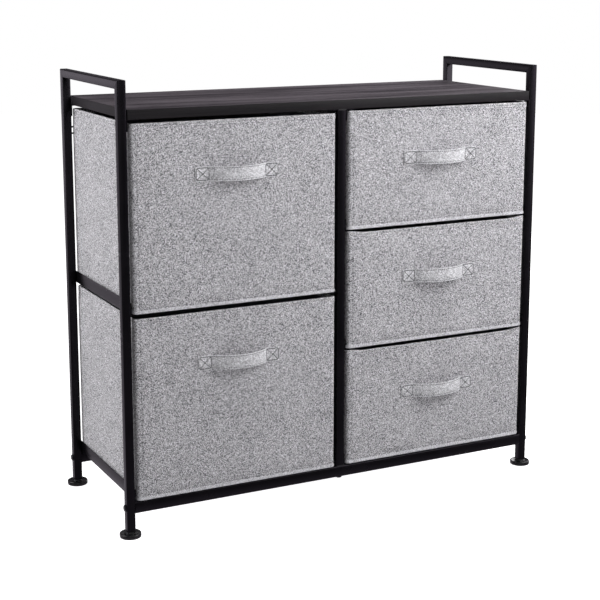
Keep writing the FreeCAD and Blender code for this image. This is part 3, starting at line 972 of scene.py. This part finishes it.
@dataclass
class Thread:
    """A line of stitches: short crowned lengths of thread, drawn twice as thick or more, to show."""

    pitch: float = 4.2 * MM
    length: float = 3.3 * MM
    width: float = 1.1 * MM
    height: float = 0.5 * MM

    def __post_init__(self) -> None:
        """Starts with no stitch."""
        self.mesh = bmesh.new()

    def sew(self, stitches: Stitches) -> None:
        """Sews one row.

        Args:
            stitches: Each stitch's middle, the way that it runs and the way that its cloth faces.
        """
        row = bmesh.new()
        size = Matrix.Diagonal((self.length / 2, self.width / 2, self.height / 2, 1))
        for place, along, out in stitches:
            turn = Matrix((along, out.cross(along), out)).transposed().to_4x4()
            bmesh.ops.create_uvsphere(row, u_segments=6, v_segments=4, radius=1.0,
                                      matrix=Matrix.Translation(place) @ turn @ size)
        join_to(self.mesh, row)


@dataclass
class FabricBin:
    """A foldable bin: cloth over stiff boards, a folded hem, a bound seam and a strap handle."""

    name: str
    seed: float                      # moves its waves, so that no two bins are alike
    creases: tuple[float, ...]       # creases across its strap, from the strap's middle
    corner: float = 5.5 * MM
    foot_round: float = 0.4          # radius of its lower edges, as a share of its corners'
    first_cut: float = 0.5 * MM      # how far from its corners the grid of its cloth starts
    band_cut: float = 1.0 * MM       # and that of its hem and binding
    cloth: float = 0.9 * MM
    front_wall: float = 6.0 * MM
    wall: float = 2.5 * MM
    lining_clear: float = 0.9 * MM   # between the front's hardboard and its lining
    rim_gap: float = 0.6 * MM        # how far its rim lies under the CAD shell's
    foot_gap: float = 0.4 * MM       # and its foot over the shell's
    climb: float = 0.0               # how much higher the rim stands over the side walls
    tuck: float = 2.0 * MM           # how far under the rim the cloth ends, inside its hem
    hem_drop: float = 10.0 * MM
    hem_proud: float = 0.5 * MM
    hem_turn: float = 0.4 * MM       # how far the hem stands off the lining inside
    hem_crest: float = 1.6 * MM      # how far in the rim is level before it falls away
    hem_fall: float = 0.5            # and how steeply it falls
    hem_fold: float = 1.4 * MM       # radius of its fold over the rim
    hem_edge: float = 0.3 * MM       # and of its lower edge
    hem_lines: tuple[float, float] = (4.6 * MM, 8.6 * MM)
    eased: tuple[float, ...] = (3 * MM, 6 * MM, 10 * MM, 15 * MM)  # cuts beside seams, for the puff
    binding_height: float = 5.2 * MM
    binding_drop: float = 0.1 * MM   # how far it reaches under the walls
    binding_turn: float = 0.4 * MM   # and into them
    binding_fold: float = 0.6 * MM   # radius of its edges
    binding_proud: float = 0.7 * MM
    binding_flare: float = 0.9 * MM  # how much further out its foot stands
    base_lines: tuple[float, float] = (7.2 * MM, 10.4 * MM)
    base_corner: float = 3.5 * MM
    base_edge: float = 0.9 * MM
    corner_line: float = 3.6 * MM
    groove: float = 0.55 * MM
    groove_width: float = 0.9 * MM
    grid: float = 11 * MM            # spacing of the cuts that let its cloth bend

    def __post_init__(self) -> None:
        """Takes the bin's sizes from its CAD shell."""
        self.body = self.name.replace("_bin", "_drawer")
        self.low, self.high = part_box(self.name + "_shell")
        self.low.z += self.foot_gap
        self.high.z -= self.rim_gap
        self.form = ClothForm(self.low, self.high, self.seed, hem=self.hem_drop, climb=self.climb)

    def build(self) -> None:
        """Builds the bin from its cloth to its strap."""
        self.outer_cloth()
        self.lining()
        self.hem()
        self.binding()
        self.stitching()
        self.base_board()
        paint(self.name + "_front_panel", "hardboard", HARDBOARD)
        SewnStrap(self).build()

    def open_box(self, low: Vector, high: Vector, radius: float, grid: float) -> bmesh.types.BMesh:
        """Makes a box without a lid, its upright and lower edges rounded, cut into a grid.

        Args:
            low: Its lowest corner.
            high: Its highest corner.
            radius: Radius of the upright corners.
            grid: Spacing of the cuts.

        Returns:
            The mesh.
        """
        mesh = block(low, high)
        bmesh.ops.delete(mesh, geom=caps(mesh, UP), context="FACES_ONLY")
        round_off(mesh, edges_along(mesh, Z), radius, 5)
        round_off(mesh, edges_of(caps(mesh, -UP)), radius * self.foot_round, 3)
        for axis in (X, Y):
            inset = radius + self.first_cut
            cut_across(mesh, axis, steps(low[axis] + inset, high[axis] - inset, grid))
        cut_across(mesh, Z, steps(low.z + radius, high.z, grid))
        return mesh

    def band(self, proud: float, side: float, front: float, bottom: float,
             top: float) -> bmesh.types.BMesh:
        """Makes a closed band round the bin's walls.

        Args:
            proud: How far it stands out of the walls.
            side: How far in it reaches at the sides and the rear.
            front: How far in it reaches at the front.
            bottom: Its lower edge.
            top: Its upper edge.

        Returns:
            The mesh.
        """
        out = Vector((proud, proud, 0))
        low = Vector((self.low.x, self.low.y, bottom)) - out
        high = Vector((self.high.x, self.high.y, top)) + out
        mesh = block(low, high)
        round_off(mesh, edges_along(mesh, Z), self.corner + proud, 5)
        lid = caps(mesh, UP)
        bmesh.ops.delete(mesh, geom=[f for f in mesh.faces if f not in lid], context="FACES")
        bmesh.ops.inset_region(mesh, faces=lid, thickness=proud + side, use_boundary=True,
                               use_even_offset=True)
        inner = [v for v in lid[0].verts if v.co.y < (self.low.y + self.high.y) / 2]
        bmesh.ops.translate(mesh, verts=inner, vec=AXES[Y] * (front - side))
        bmesh.ops.delete(mesh, geom=lid, context="FACES_ONLY")
        extrude(mesh, mesh.faces[:], UP * (bottom - top))
        return mesh

    def rims(self, mesh: bmesh.types.BMesh, level: float) -> list[bmesh.types.BMEdge]:
        """The edges of a band's flat edge at a level, inside and outside."""
        return [e for e in mesh.edges if all(abs(v.co.z - level) < TOUCH for v in e.verts)
                and sum(abs(f.normal.z) > FACING for f in e.link_faces) == 1]

    def settle(self, mesh: bmesh.types.BMesh) -> None:
        """Lays the cloth on the mesh and moves every vertex with the walls.

        Args:
            mesh: The mesh, in the flat.
        """
        lay_cloth(mesh)
        for vert in mesh.verts:
            vert.co = self.form.shaped(vert.co)

    def follow_walls(self, mesh: bmesh.types.BMesh) -> None:
        """Cuts a band along its run, so that it can follow the walls.

        Args:
            mesh: The band.
        """
        for axis in (X, Y):
            inset = self.corner + self.band_cut
            cut_across(mesh, axis, steps(self.low[axis] + inset, self.high[axis] - inset, self.grid))

    def press_lines(self, mesh: bmesh.types.BMesh, levels: list[float], reach: float) -> None:
        """Cuts loops beside each level seam line and presses the line in.

        Args:
            mesh: A mesh in the flat.
            levels: Heights of the lines.
            reach: How far out of the walls' planes the pressed faces may stand.
        """
        for level in levels:
            cut_across(mesh, Z, [level - self.groove_width, level, level + self.groove_width])
        for vert in mesh.verts:
            if min(abs(vert.co.z - level) for level in levels) > TOUCH:
                continue
            for axis in (X, Y):
                for way, plane in ((-1, self.low[axis]), (1, self.high[axis])):
                    if abs(vert.co[axis] - plane) <= reach + TOUCH:
                        vert.co[axis] -= way * self.groove

    def corner_seams(self) -> tuple[float, float]:
        """Where along X the upright seams beside the front's corners stand."""
        inset = self.corner + self.corner_line
        return self.low.x + inset, self.high.x - inset

    def press_corners(self, mesh: bmesh.types.BMesh) -> None:
        """Presses an upright seam line beside each corner of the front.

        Args:
            mesh: The cloth in the flat, its normals up to date.
        """
        places = self.corner_seams()
        for place in places:
            cut_across(mesh, X, [place - self.groove_width, place, place + self.groove_width])
        for vert in mesh.verts:
            seam = min(abs(vert.co.x - place) for place in places) < TOUCH
            if seam and abs(vert.co.y - self.low.y) < TOUCH and vert.co.z < self.high.z - self.hem_drop:
                vert.co.y += self.groove

    def outer_cloth(self) -> None:
        """Sews the cloth that shows: four walls and the floor, with the seams pressed in."""
        mesh = self.open_box(self.low, self.high - UP * self.tuck, self.corner, self.grid)
        for cut in self.eased:
            for axis in (X, Y):
                inset = self.corner + cut
                cut_across(mesh, axis, [self.low[axis] + inset, self.high[axis] - inset])
            cut_across(mesh, Z, [self.high.z - self.hem_drop - cut])
        self.press_lines(mesh, [self.low.z + line for line in self.base_lines], 0.0)
        self.press_corners(mesh)
        self.settle(mesh)
        self.thicken(hand_over(mesh, self.name + "_cloth", self.body, "bin_fabric", BIN_CLOTH,
                               self.name + "_shell"))

    def thicken(self, piece: bpy.types.Object) -> None:
        """Gives a cloth its thickness, behind the face that shows.

        Args:
            piece: The cloth.
        """
        solid = piece.modifiers.new("cloth_thickness", "SOLIDIFY")
        solid.thickness = self.cloth
        solid.offset = -1
        solid.use_even_offset = True

    def lining(self) -> None:
        """Lines the walls and the floor inside."""
        low = self.low + Vector((self.wall, self.front_wall + self.lining_clear, self.wall))
        high = Vector((self.high.x - self.wall, self.high.y - self.wall, self.high.z - 2 * self.tuck))
        mesh = self.open_box(low, high, self.corner - self.wall, 2 * self.grid)
        bmesh.ops.reverse_faces(mesh, faces=mesh.faces[:])
        self.settle(mesh)
        self.thicken(hand_over(mesh, self.name + "_lining", self.body, "bin_fabric", LINING))

    def hem(self) -> None:
        """Folds the hem over the rim and presses its two lines of stitching in."""
        side = self.wall + self.hem_turn
        front = self.front_wall + self.lining_clear + self.hem_turn
        bottom = self.high.z - self.hem_drop
        mesh = self.band(self.hem_proud, side, front, bottom, self.high.z)
        round_off(mesh, self.rims(mesh, self.high.z), self.hem_fold, 4)
        round_off(mesh, self.rims(mesh, bottom), self.hem_edge, 2)
        self.follow_walls(mesh)
        for vert in mesh.verts:
            if vert.co.z > self.high.z - self.hem_lines[0] / 2:
                across = min(vert.co.x - self.low.x, self.high.x - vert.co.x)
                inward = min(across, vert.co.y - self.low.y, self.high.y - vert.co.y) + self.hem_proud
                vert.co.z -= self.hem_fall * max(0.0, inward - self.hem_crest)
        self.press_lines(mesh, [self.high.z - line for line in self.hem_lines], self.hem_proud)
        self.settle(mesh)
        hand_over(mesh, self.name + "_hem", self.body, "bin_fabric", HEM_CLOTH_PAINTED_LIGHT)

    def binding(self) -> None:
        """Binds the seam round the foot of the walls."""
        bottom = self.low.z - self.binding_drop
        top = bottom + self.binding_height
        mesh = self.band(self.binding_proud, self.binding_turn, self.binding_turn, bottom, top)
        round_off(mesh, self.rims(mesh, bottom) + self.rims(mesh, top), self.binding_fold, 3)
        self.follow_walls(mesh)
        for vert in mesh.verts:
            flare = self.binding_flare * (top - vert.co.z) / (top - bottom)
            for axis in (X, Y):
                if vert.co[axis] < self.low[axis]:
                    vert.co[axis] -= flare
                elif vert.co[axis] > self.high[axis]:
                    vert.co[axis] += flare
        self.settle(mesh)
        hand_over(mesh, self.name + "_binding", self.body, "bin_fabric", BINDING_CLOTH_PAINTED_LIGHT)

    def wall_row(self, axis: int, way: int, level: float, proud: float, pitch: float) -> Stitches:
        """Walks along one wall at a level.

        Args:
            axis: The axis that the wall runs along, X or Y.
            way: The sign that it faces along the other axis.
            level: Height of the walk.
            proud: How far out of the wall it runs.
            pitch: Length of a step.

        Yields:
            Each place, the way along the wall and the way that it faces.
        """
        other = Y if axis == X else X
        plane = self.low[other] - proud if way < 0 else self.high[other] + proud
        for place in steps(self.low[axis] + self.corner, self.high[axis] - self.corner, pitch):
            point = AXES[axis] * place + AXES[other] * plane + UP * level
            yield self.form.shaped(point), AXES[axis], AXES[other] * way

    def corner_row(self, x: float, pitch: float) -> Stitches:
        """Walks up the front beside a corner.

        Args:
            x: Where the seam line stands.
            pitch: Length of a step.

        Yields:
            Each place, the way up the seam and the way that the front faces.
        """
        for level in steps(self.low.z + self.base_lines[1], self.high.z - self.hem_drop, pitch):
            point = Vector((x, self.low.y + self.groove, level))
            yield self.form.shaped(point), UP, -AXES[Y]

    def stitching(self) -> None:
        """Sews the threads of the hem, the lower seam and the front's corners."""
        thread = Thread()
        lines = [(self.high.z - line, self.hem_proud - self.groove) for line in self.hem_lines]
        lines.append((self.low.z + self.base_lines[0], -self.groove))
        for level, proud in lines:
            for axis in (X, Y):
                for way in (-1, 1):
                    thread.sew(self.wall_row(axis, way, level, proud, thread.pitch))
        for x in self.corner_seams():
            thread.sew(self.corner_row(x, thread.pitch))
        hand_over(thread.mesh, self.name + "_seam_thread", self.body, "bin_fabric", SEAM_THREAD_PAINTED_SHADE)

    def base_board(self) -> None:
        """Covers the loose board on the floor with lining."""
        node = self.name + "_base_board"
        mesh = block(*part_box(node))
        round_off(mesh, edges_along(mesh, Z), self.base_corner, 4)
        round_off(mesh, edges_of(caps(mesh, UP, -UP)), self.base_edge, 3)
        hand_over(mesh, node + "_covered", self.body, "hardboard", LINING, node)


@dataclass
class ShortBin(FabricBin):
    """A bin of the right bay, sewn a little shorter, so that a gap shows over and under it."""

    rim_gap: float = 1.5 * MM
    foot_gap: float = 1.4 * MM


@dataclass
class SewnStrap:
    """A strap of the bin's cloth, box-stitched at both ends and bowed between them."""

    bin: FabricBin
    thick: float = 1.6 * MM
    patch: float = 26 * MM
    edge_line: float = 2.3 * MM
    edge_groove: float = 0.35 * MM
    box_margin: float = 1.7 * MM
    box_inset: float = 1.02 * MM  # between its inner stitches and where the strap leaves the bin
    fold_radius: float = 0.5 * MM
    crease_depth: float = 0.4 * MM
    crease_width: float = 2.2 * MM
    grid: float = 2.5 * MM        # spacing of the cuts that let it bend

    def __post_init__(self) -> None:
        """Takes the strap's place and bow from its CAD node."""
        self.node = self.bin.name + "_strap"
        self.low, self.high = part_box(self.node)
        self.half = (self.high.x - self.low.x) / 2 - self.patch
        bow = self.high.y - self.low.y - self.thick
        self.radius = (self.half**2 + bow**2) / (2 * bow)
        self.sweep = math.asin(self.half / self.radius)
        self.arc = self.radius * self.sweep
        self.middle = (self.low.x + self.high.x) / 2

    def line(self, along: float) -> tuple[Vector, Vector, Vector]:
        """The strap's inner face at a distance along it from its middle.

        Args:
            along: The distance, with the strap laid straight.

        Returns:
            The place, the way along the strap and the way that it faces.
        """
        if abs(along) >= self.arc:
            x = self.middle + math.copysign(abs(along) - self.arc + self.half, along)
            return Vector((x, self.high.y, 0)), AXES[X], -AXES[Y]
        turn = along / self.radius
        across, up = math.sin(turn), math.cos(turn)
        bow = self.radius * (up - math.cos(self.sweep))
        place = Vector((self.middle + self.radius * across, self.high.y - bow, 0))
        return place, Vector((up, across, 0)), Vector((across, -up, 0))

    def lift(self, flat: Vector) -> tuple[Vector, Vector, Vector]:
        """Puts a point of the strap laid straight on the bin.

        Args:
            flat: The point, with x along the strap, y out of it and z up.

        Returns:
            The place, the way along the strap and the way that it faces.
        """
        place, along, out = self.line(flat.x)
        dents = [math.exp(-(((flat.x - crease) / self.crease_width) ** 2)) for crease in self.bin.creases]
        place = place + out * (flat.y - self.crease_depth * sum(dents)) + UP * flat.z
        base = Vector((place.x, self.high.y, place.z))
        return place + self.bin.form.shaped(base) - base, along, out

    def build(self) -> None:
        """Builds the strap and its stitching."""
        length = self.arc + self.patch
        mesh = block(Vector((-length, 0, self.low.z)), Vector((length, self.thick, self.high.z)))
        round_off(mesh, mesh.edges[:], self.fold_radius, 3)
        cut_across(mesh, X, steps(-length, length, self.grid))
        for level in (self.low.z + self.edge_line, self.high.z - self.edge_line):
            cut_across(mesh, Z, [level - 2 * self.edge_groove, level, level + 2 * self.edge_groove])
            pressed = [v for v in mesh.verts
                       if abs(v.co.z - level) < TOUCH and v.co.y > self.thick - TOUCH]
            bmesh.ops.translate(mesh, verts=pressed, vec=-AXES[Y] * self.edge_groove)
        lay_cloth(mesh)
        for vert in mesh.verts:
            vert.co = self.lift(vert.co)[0]
        bmesh.ops.recalc_face_normals(mesh, faces=mesh.faces[:])
        # its cloth is drawn lighter than the bin's: painted light
        hand_over(mesh, self.node + "_sewn", self.bin.body, "strap_webbing", STRAP_CLOTH_PAINTED_LIGHT, self.node)
        self.box_stitches()
        self.edge_stitches()

    def seam(self, start: Vector, end: Vector, pitch: float) -> Stitches:
        """Walks along a straight seam of the flat strap.

        Args:
            start: Its first end.
            end: Its other end.
            pitch: Length of a step.

        Yields:
            Each place on the bowed strap, the way along the seam and the way that it faces.
        """
        span = end - start
        for share in steps(0, 1, pitch / span.length):
            place, along, out = self.lift(start + span * share)
            yield place, (along * span.x + UP * span.z).normalized(), out

    def box_stitches(self) -> None:
        """Sews a square and a cross of doubled dark thread through each patch."""
        thread = Thread(pitch=2.8 * MM, length=2.7 * MM, width=2.0 * MM, height=0.7 * MM)
        top, bottom = self.high.z - self.box_margin, self.low.z + self.box_margin
        for way in (-1, 1):
            inner = way * (self.arc + self.box_inset)
            outer = way * (self.arc + self.patch - self.box_margin)
            ring = [Vector((x, self.thick, z)) for x, z in
                    ((inner, top), (outer, top), (outer, bottom), (inner, bottom))]
            for first, last in ((0, 1), (1, 2), (2, 3), (3, 0), (0, 2), (1, 3)):
                thread.sew(self.seam(ring[first], ring[last], thread.pitch))
        hand_over(thread.mesh, self.node + "_box_thread", self.bin.body, "strap_webbing", BOX_THREAD)

    def edge_stitches(self) -> None:
        """Sews a dark line beside each folded edge, and lays pale thread along the edge itself: a painted
        highlight, for the light that the folded edge catches.
        """
        line = Thread(width=1.5 * MM)
        self.edge_row(line, self.edge_line, self.edge_groove / 2, self.box_margin, "edge", SEAM_THREAD_PAINTED_SHADE)
        edge_highlight = Thread(pitch=2.4 * MM, length=2.7 * MM, width=1.3 * MM, height=0.8 * MM)
        self.edge_row(edge_highlight, self.fold_radius, self.fold_radius / 2, 0.0, "edge_highlight", PALE_THREAD_PAINTED_HIGHLIGHT)

    def edge_row(self, thread: Thread, inset: float, sunk: float, short: float, name: str,
                 finish: Finish) -> None:
        """Sews one kind of thread along both edges.

        Args:
            thread: The thread.
            inset: How far in from the edge it runs.
            sunk: How far under the strap's face it lies.
            short: How far from the strap's ends it stops.
            name: What the piece's name says of it.
            finish: Its finish.
        """
        reach = self.arc + self.patch - short
        depth = self.thick - sunk
        for level in (self.low.z + inset, self.high.z - inset):
            start = Vector((-reach, depth, level))
            thread.sew(self.seam(start, Vector((reach, depth, level)), thread.pitch))
        hand_over(thread.mesh, f"{self.node}_{name}_thread", self.bin.body, "strap_webbing", finish)


# ---- Studio ----
def bearing(azimuth: float, elevation: float = 0.0) -> Vector:
    """The way out to an azimuth, in degrees from the front towards +X, and an elevation."""
    turn, lift = math.radians(azimuth), math.radians(elevation)
    return Vector((math.sin(turn) * math.cos(lift), -math.cos(turn) * math.cos(lift), math.sin(lift)))


@dataclass(frozen=True)
class SweepPaper(Finish):
    """White sweep paper with a painted glow of its own; the glow is weaker near the dresser, which paints
    shade there, and shadows stay faint.
    """

    colour: str = "#e9e9e9"
    shade: str = "#eeeeee"
    fibre: float = 0.4            # size of its faint clouds
    painted_glow_near: float = 0.92       # its painted glow under the dresser, dimmer than far off: painted shade where shadows fall
    painted_glow_far: float = 1.0
    painted_glow_rise: tuple[float, float] = (0.7, 2.2)  # between these distances from the dresser

    def shader(self, tree: bpy.types.NodeTree) -> bpy.types.Node:
        """Wires the paper's clouds and its painted glow, which grows away from the dresser and so paints
        shade near it.

        Args:
            tree: The material's node tree.

        Returns:
            The surface shader.
        """
        place = add(tree, "TexCoord").outputs["Object"]
        clouds = add(tree, "TexNoise", {"Vector": place, "Scale": 1 / self.fibre}).outputs[0]
        away = add(tree, "VectorMath", {0: place}, operation="LENGTH").outputs["Value"]
        near, far = self.painted_glow_rise
        span = {0: away, 1: near, 2: far, 3: self.painted_glow_near, 4: self.painted_glow_far}
        return self.dressed(tree, clouds, self.colour, self.shade, {
            "Roughness": 0.95, "Specular IOR Level": 0.0, "Emission Color": (1, 1, 1, 1),
            "Emission Strength": add(tree, "MapRange", span).outputs[0]})


@dataclass
class Softbox:
    """A square area light aimed at the dresser."""

    name: str
    azimuth: float  # degrees from the front towards +X
    elevation: float
    distance: float
    size: float
    watts: float

    def build(self, target: Vector) -> None:
        """Sets the light up.

        Args:
            target: The place that it faces.
        """
        data = bpy.data.lights.new(self.name, "AREA")
        data.energy = self.watts
        data.size = self.size
        light = set_up(self.name, data)
        out = bearing(self.azimuth, self.elevation)
        light.location = target + out * self.distance
        light.rotation_euler = (-out).to_track_quat("-Z", "Y").to_euler()


@dataclass
class LitWall:
    """A low stretch of lit wall round the studio, which the black steel mirrors."""

    azimuth: float  # degrees from the front towards +X
    start: float    # cosine of the angle from its middle at which it starts
    full: float
    light: float
    foot: tuple[float, float] = (-0.14, -0.03)  # sines of elevation where it fades in
    top: tuple[float, float] = (0.03, 0.1)      # and out

    def glow(self, tree: bpy.types.NodeTree, way: bpy.types.NodeSocket,
             height: bpy.types.NodeSocket) -> bpy.types.NodeSocket:
        """Wires its light by direction.

        Args:
            tree: The world's node tree.
            way: The direction looked in.
            height: The sine of its elevation.

        Returns:
            The socket of its light.
        """
        middle = {0: way, 1: bearing(self.azimuth)}
        near = add(tree, "VectorMath", middle, operation="DOT_PRODUCT").outputs["Value"]
        span = {0: near, 1: self.start, 2: self.full, 3: 0.0, 4: self.light}
        light = add(tree, "MapRange", span, interpolation_type="SMOOTHSTEP").outputs[0]
        foot = {0: height, 1: self.foot[0], 2: self.foot[1]}
        top = {0: height, 1: self.top[0], 2: self.top[1], 3: 1.0, 4: 0.0}
        for fade in (foot, top):
            share = add(tree, "MapRange", fade).outputs[0]
            light = add(tree, "Math", {0: light, 1: share}, operation="MULTIPLY").outputs[0]
        return light


@dataclass
class Studio:
    """A white sweep under soft light, and the camera."""

    softboxes: tuple[Softbox, ...] = (
        Softbox("key_softbox", 46.0, 38.0, 1.8, 1.4, 33.5),
        Softbox("side_softbox", -100.0, 25.0, 2.6, 1.6, 50.5),
        Softbox("front_softbox", -16.0, 14.0, 3.0, 2.2, 12.0),
        Softbox("rim_softbox", 112.0, 12.0, 2.6, 2.0, 32.0),
    )
    walls: tuple[LitWall, ...] = (
        LitWall(-152.0, 0.75, 0.95, 0.45),
        LitWall(-152.0, 0.75, 0.95, 0.45, foot=(-0.6, -0.5)),
        LitWall(52.0, 0.9, 1.0, 7.0, top=(-0.03, 0.0)),
        LitWall(125.0, 0.9, 1.0, 0.4, foot=(-0.02, 0.02), top=(0.25, 0.5)),
    )
    target: tuple[float, float, float] = (0, 0, 0.38)
    floor_radius: float = 7.0
    paper: Finish = SweepPaper("white_sweep_paper")
    tint: str = "#efe6f3"         # of what the steel mirrors
    floor_edge: tuple[float, float] = (-0.3, -0.5)  # sines of elevation where the floor sets in
    floor_light: float = 0.85     # what the white floor throws back
    dim_light: float = 0.13       # the unlit rest of the studio
    camera_place: tuple[float, float, float] = (-1.17910, -2.30960, 0.95238)
    camera_yaw: float = 26.918    # degrees from +Y towards +X
    camera_pitch: float = 10.864  # degrees below level
    lens: float = 85.317
    shift_y: float = -0.10

    def build(self) -> None:
        """Builds the floor, the world, the lights and the camera."""
        self.floor()
        self.world()
        for softbox in self.softboxes:
            softbox.build(Vector(self.target))
        self.camera()
        bpy.context.scene.view_settings.view_transform = "Standard"

    def floor(self) -> None:
        """Lays a round floor that the camera sees and no piece mirrors."""
        mesh = bmesh.new()
        bmesh.ops.create_circle(mesh, cap_ends=True, segments=96, radius=self.floor_radius)
        data = bpy.data.meshes.new("studio_floor")
        mesh.to_mesh(data)
        mesh.free()
        data.materials.append(self.paper.material())
        floor = set_up("studio_floor", data)
        floor.visible_diffuse = floor.visible_glossy = False

    def world(self) -> None:
        """Lights the studio by its walls and floor, with white wherever the camera looks."""
        world = bpy.data.worlds.new("studio")
        bpy.context.scene.world = world
        world.use_nodes = True
        tree = world.node_tree
        tree.nodes.clear()
        way = add(tree, "TexCoord").outputs["Generated"]
        height = add(tree, "SeparateXYZ", {0: way}).outputs[Z]
        start, full = self.floor_edge
        span = {0: height, 1: start, 2: full, 3: self.dim_light, 4: self.floor_light}
        light = add(tree, "MapRange", span).outputs[0]
        for wall in self.walls:
            glow = wall.glow(tree, way, height)
            light = add(tree, "Math", {0: glow, 1: light}, operation="ADD").outputs[0]
        rays = add(tree, "LightPath").outputs
        seen = {0: light, 1: rays["Is Camera Ray"]}
        strength = add(tree, "Math", seen, operation="MAXIMUM").outputs[0]
        tints = {0: rays["Is Glossy Ray"], A: (1, 1, 1, 1), B: linear(self.tint)}
        colour = add(tree, "Mix", tints, data_type="RGBA").outputs[MIXED]
        shader = add(tree, "Background", {"Color": colour, "Strength": strength})
        add(tree, "OutputWorld", {"Surface": shader.outputs[0]})

    def camera(self) -> None:
        """Places the camera."""
        data = bpy.data.cameras.new("studio_camera")
        data.lens = self.lens
        data.shift_y = self.shift_y
        camera = set_up("studio_camera", data)
        camera.location = self.camera_place
        camera.rotation_euler = (math.radians(90 - self.camera_pitch), 0, math.radians(-self.camera_yaw))
        bpy.context.scene.camera = camera


BINS = (
    FabricBin("upper_left_bin", 0.0, (18 * MM,)),
    FabricBin("lower_left_bin", 3.1, (-9 * MM, 26 * MM)),
    ShortBin("upper_right_bin", 6.7, (-22 * MM,)),
    ShortBin("middle_right_bin", 9.4, (12 * MM,), climb=3.2 * MM),
    ShortBin("lower_right_bin", 12.9, (-16 * MM, 20 * MM), climb=3.2 * MM),
)
PAINTED = (
    ("board_brackets", "black_sheet_steel", TUBE_COAT),
    ("rear_tie_rods", "black_tube_steel", TUBE_COAT),
    ("rail_bolts", "black_fasteners", BLACK_OXIDE),
    ("upright_bolts", "black_fasteners", BLACK_OXIDE),
    ("runner_screws", "black_fasteners", BLACK_OXIDE),
    ("bracket_screws", "black_fasteners", BLACK_OXIDE),
    ("rail_end_inserts", "insert_steel", ZINC_PLATE),
    ("post_foot_inserts", "plug_plastic", PLUG_PLASTIC),
    ("upright_plugs", "plug_plastic", PLUG_PLASTIC),
)


def runners() -> Iterator[Runner]:
    """Finds every runner of both bays.

    Yields:
        Each runner, with the way that its ledge points.
    """
    for node in sorted(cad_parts):
        if node.endswith("_runner"):
            left_bay, outer = node.startswith("left"), "_outer_" in node
            yield Runner(node, 1 if left_bay == outer else -1)


def main() -> None:
    """Builds the dresser's pieces in order."""
    logging.basicConfig(level=logging.INFO, format="%(relativeCreated)d ms %(name)s: %(message)s")
    for side in Side:
        EndFrame(side).build()
    for end in End:
        FrameBar(f"{word(end)}_bottom_rail", X).build()
        FrameBar(f"centre_{word(end)}_upright", Z).build()
    for runner in runners():
        runner.build()
    Board().build()
    for end in End:
        for side in Side:
            LevellingFoot(end, side).build()
    for fabric_bin in BINS:
        fabric_bin.build()
    for node, slot, finish in PAINTED:
        paint(node, slot, finish)
    Studio().build()


if __name__ == "__main__":
    main()
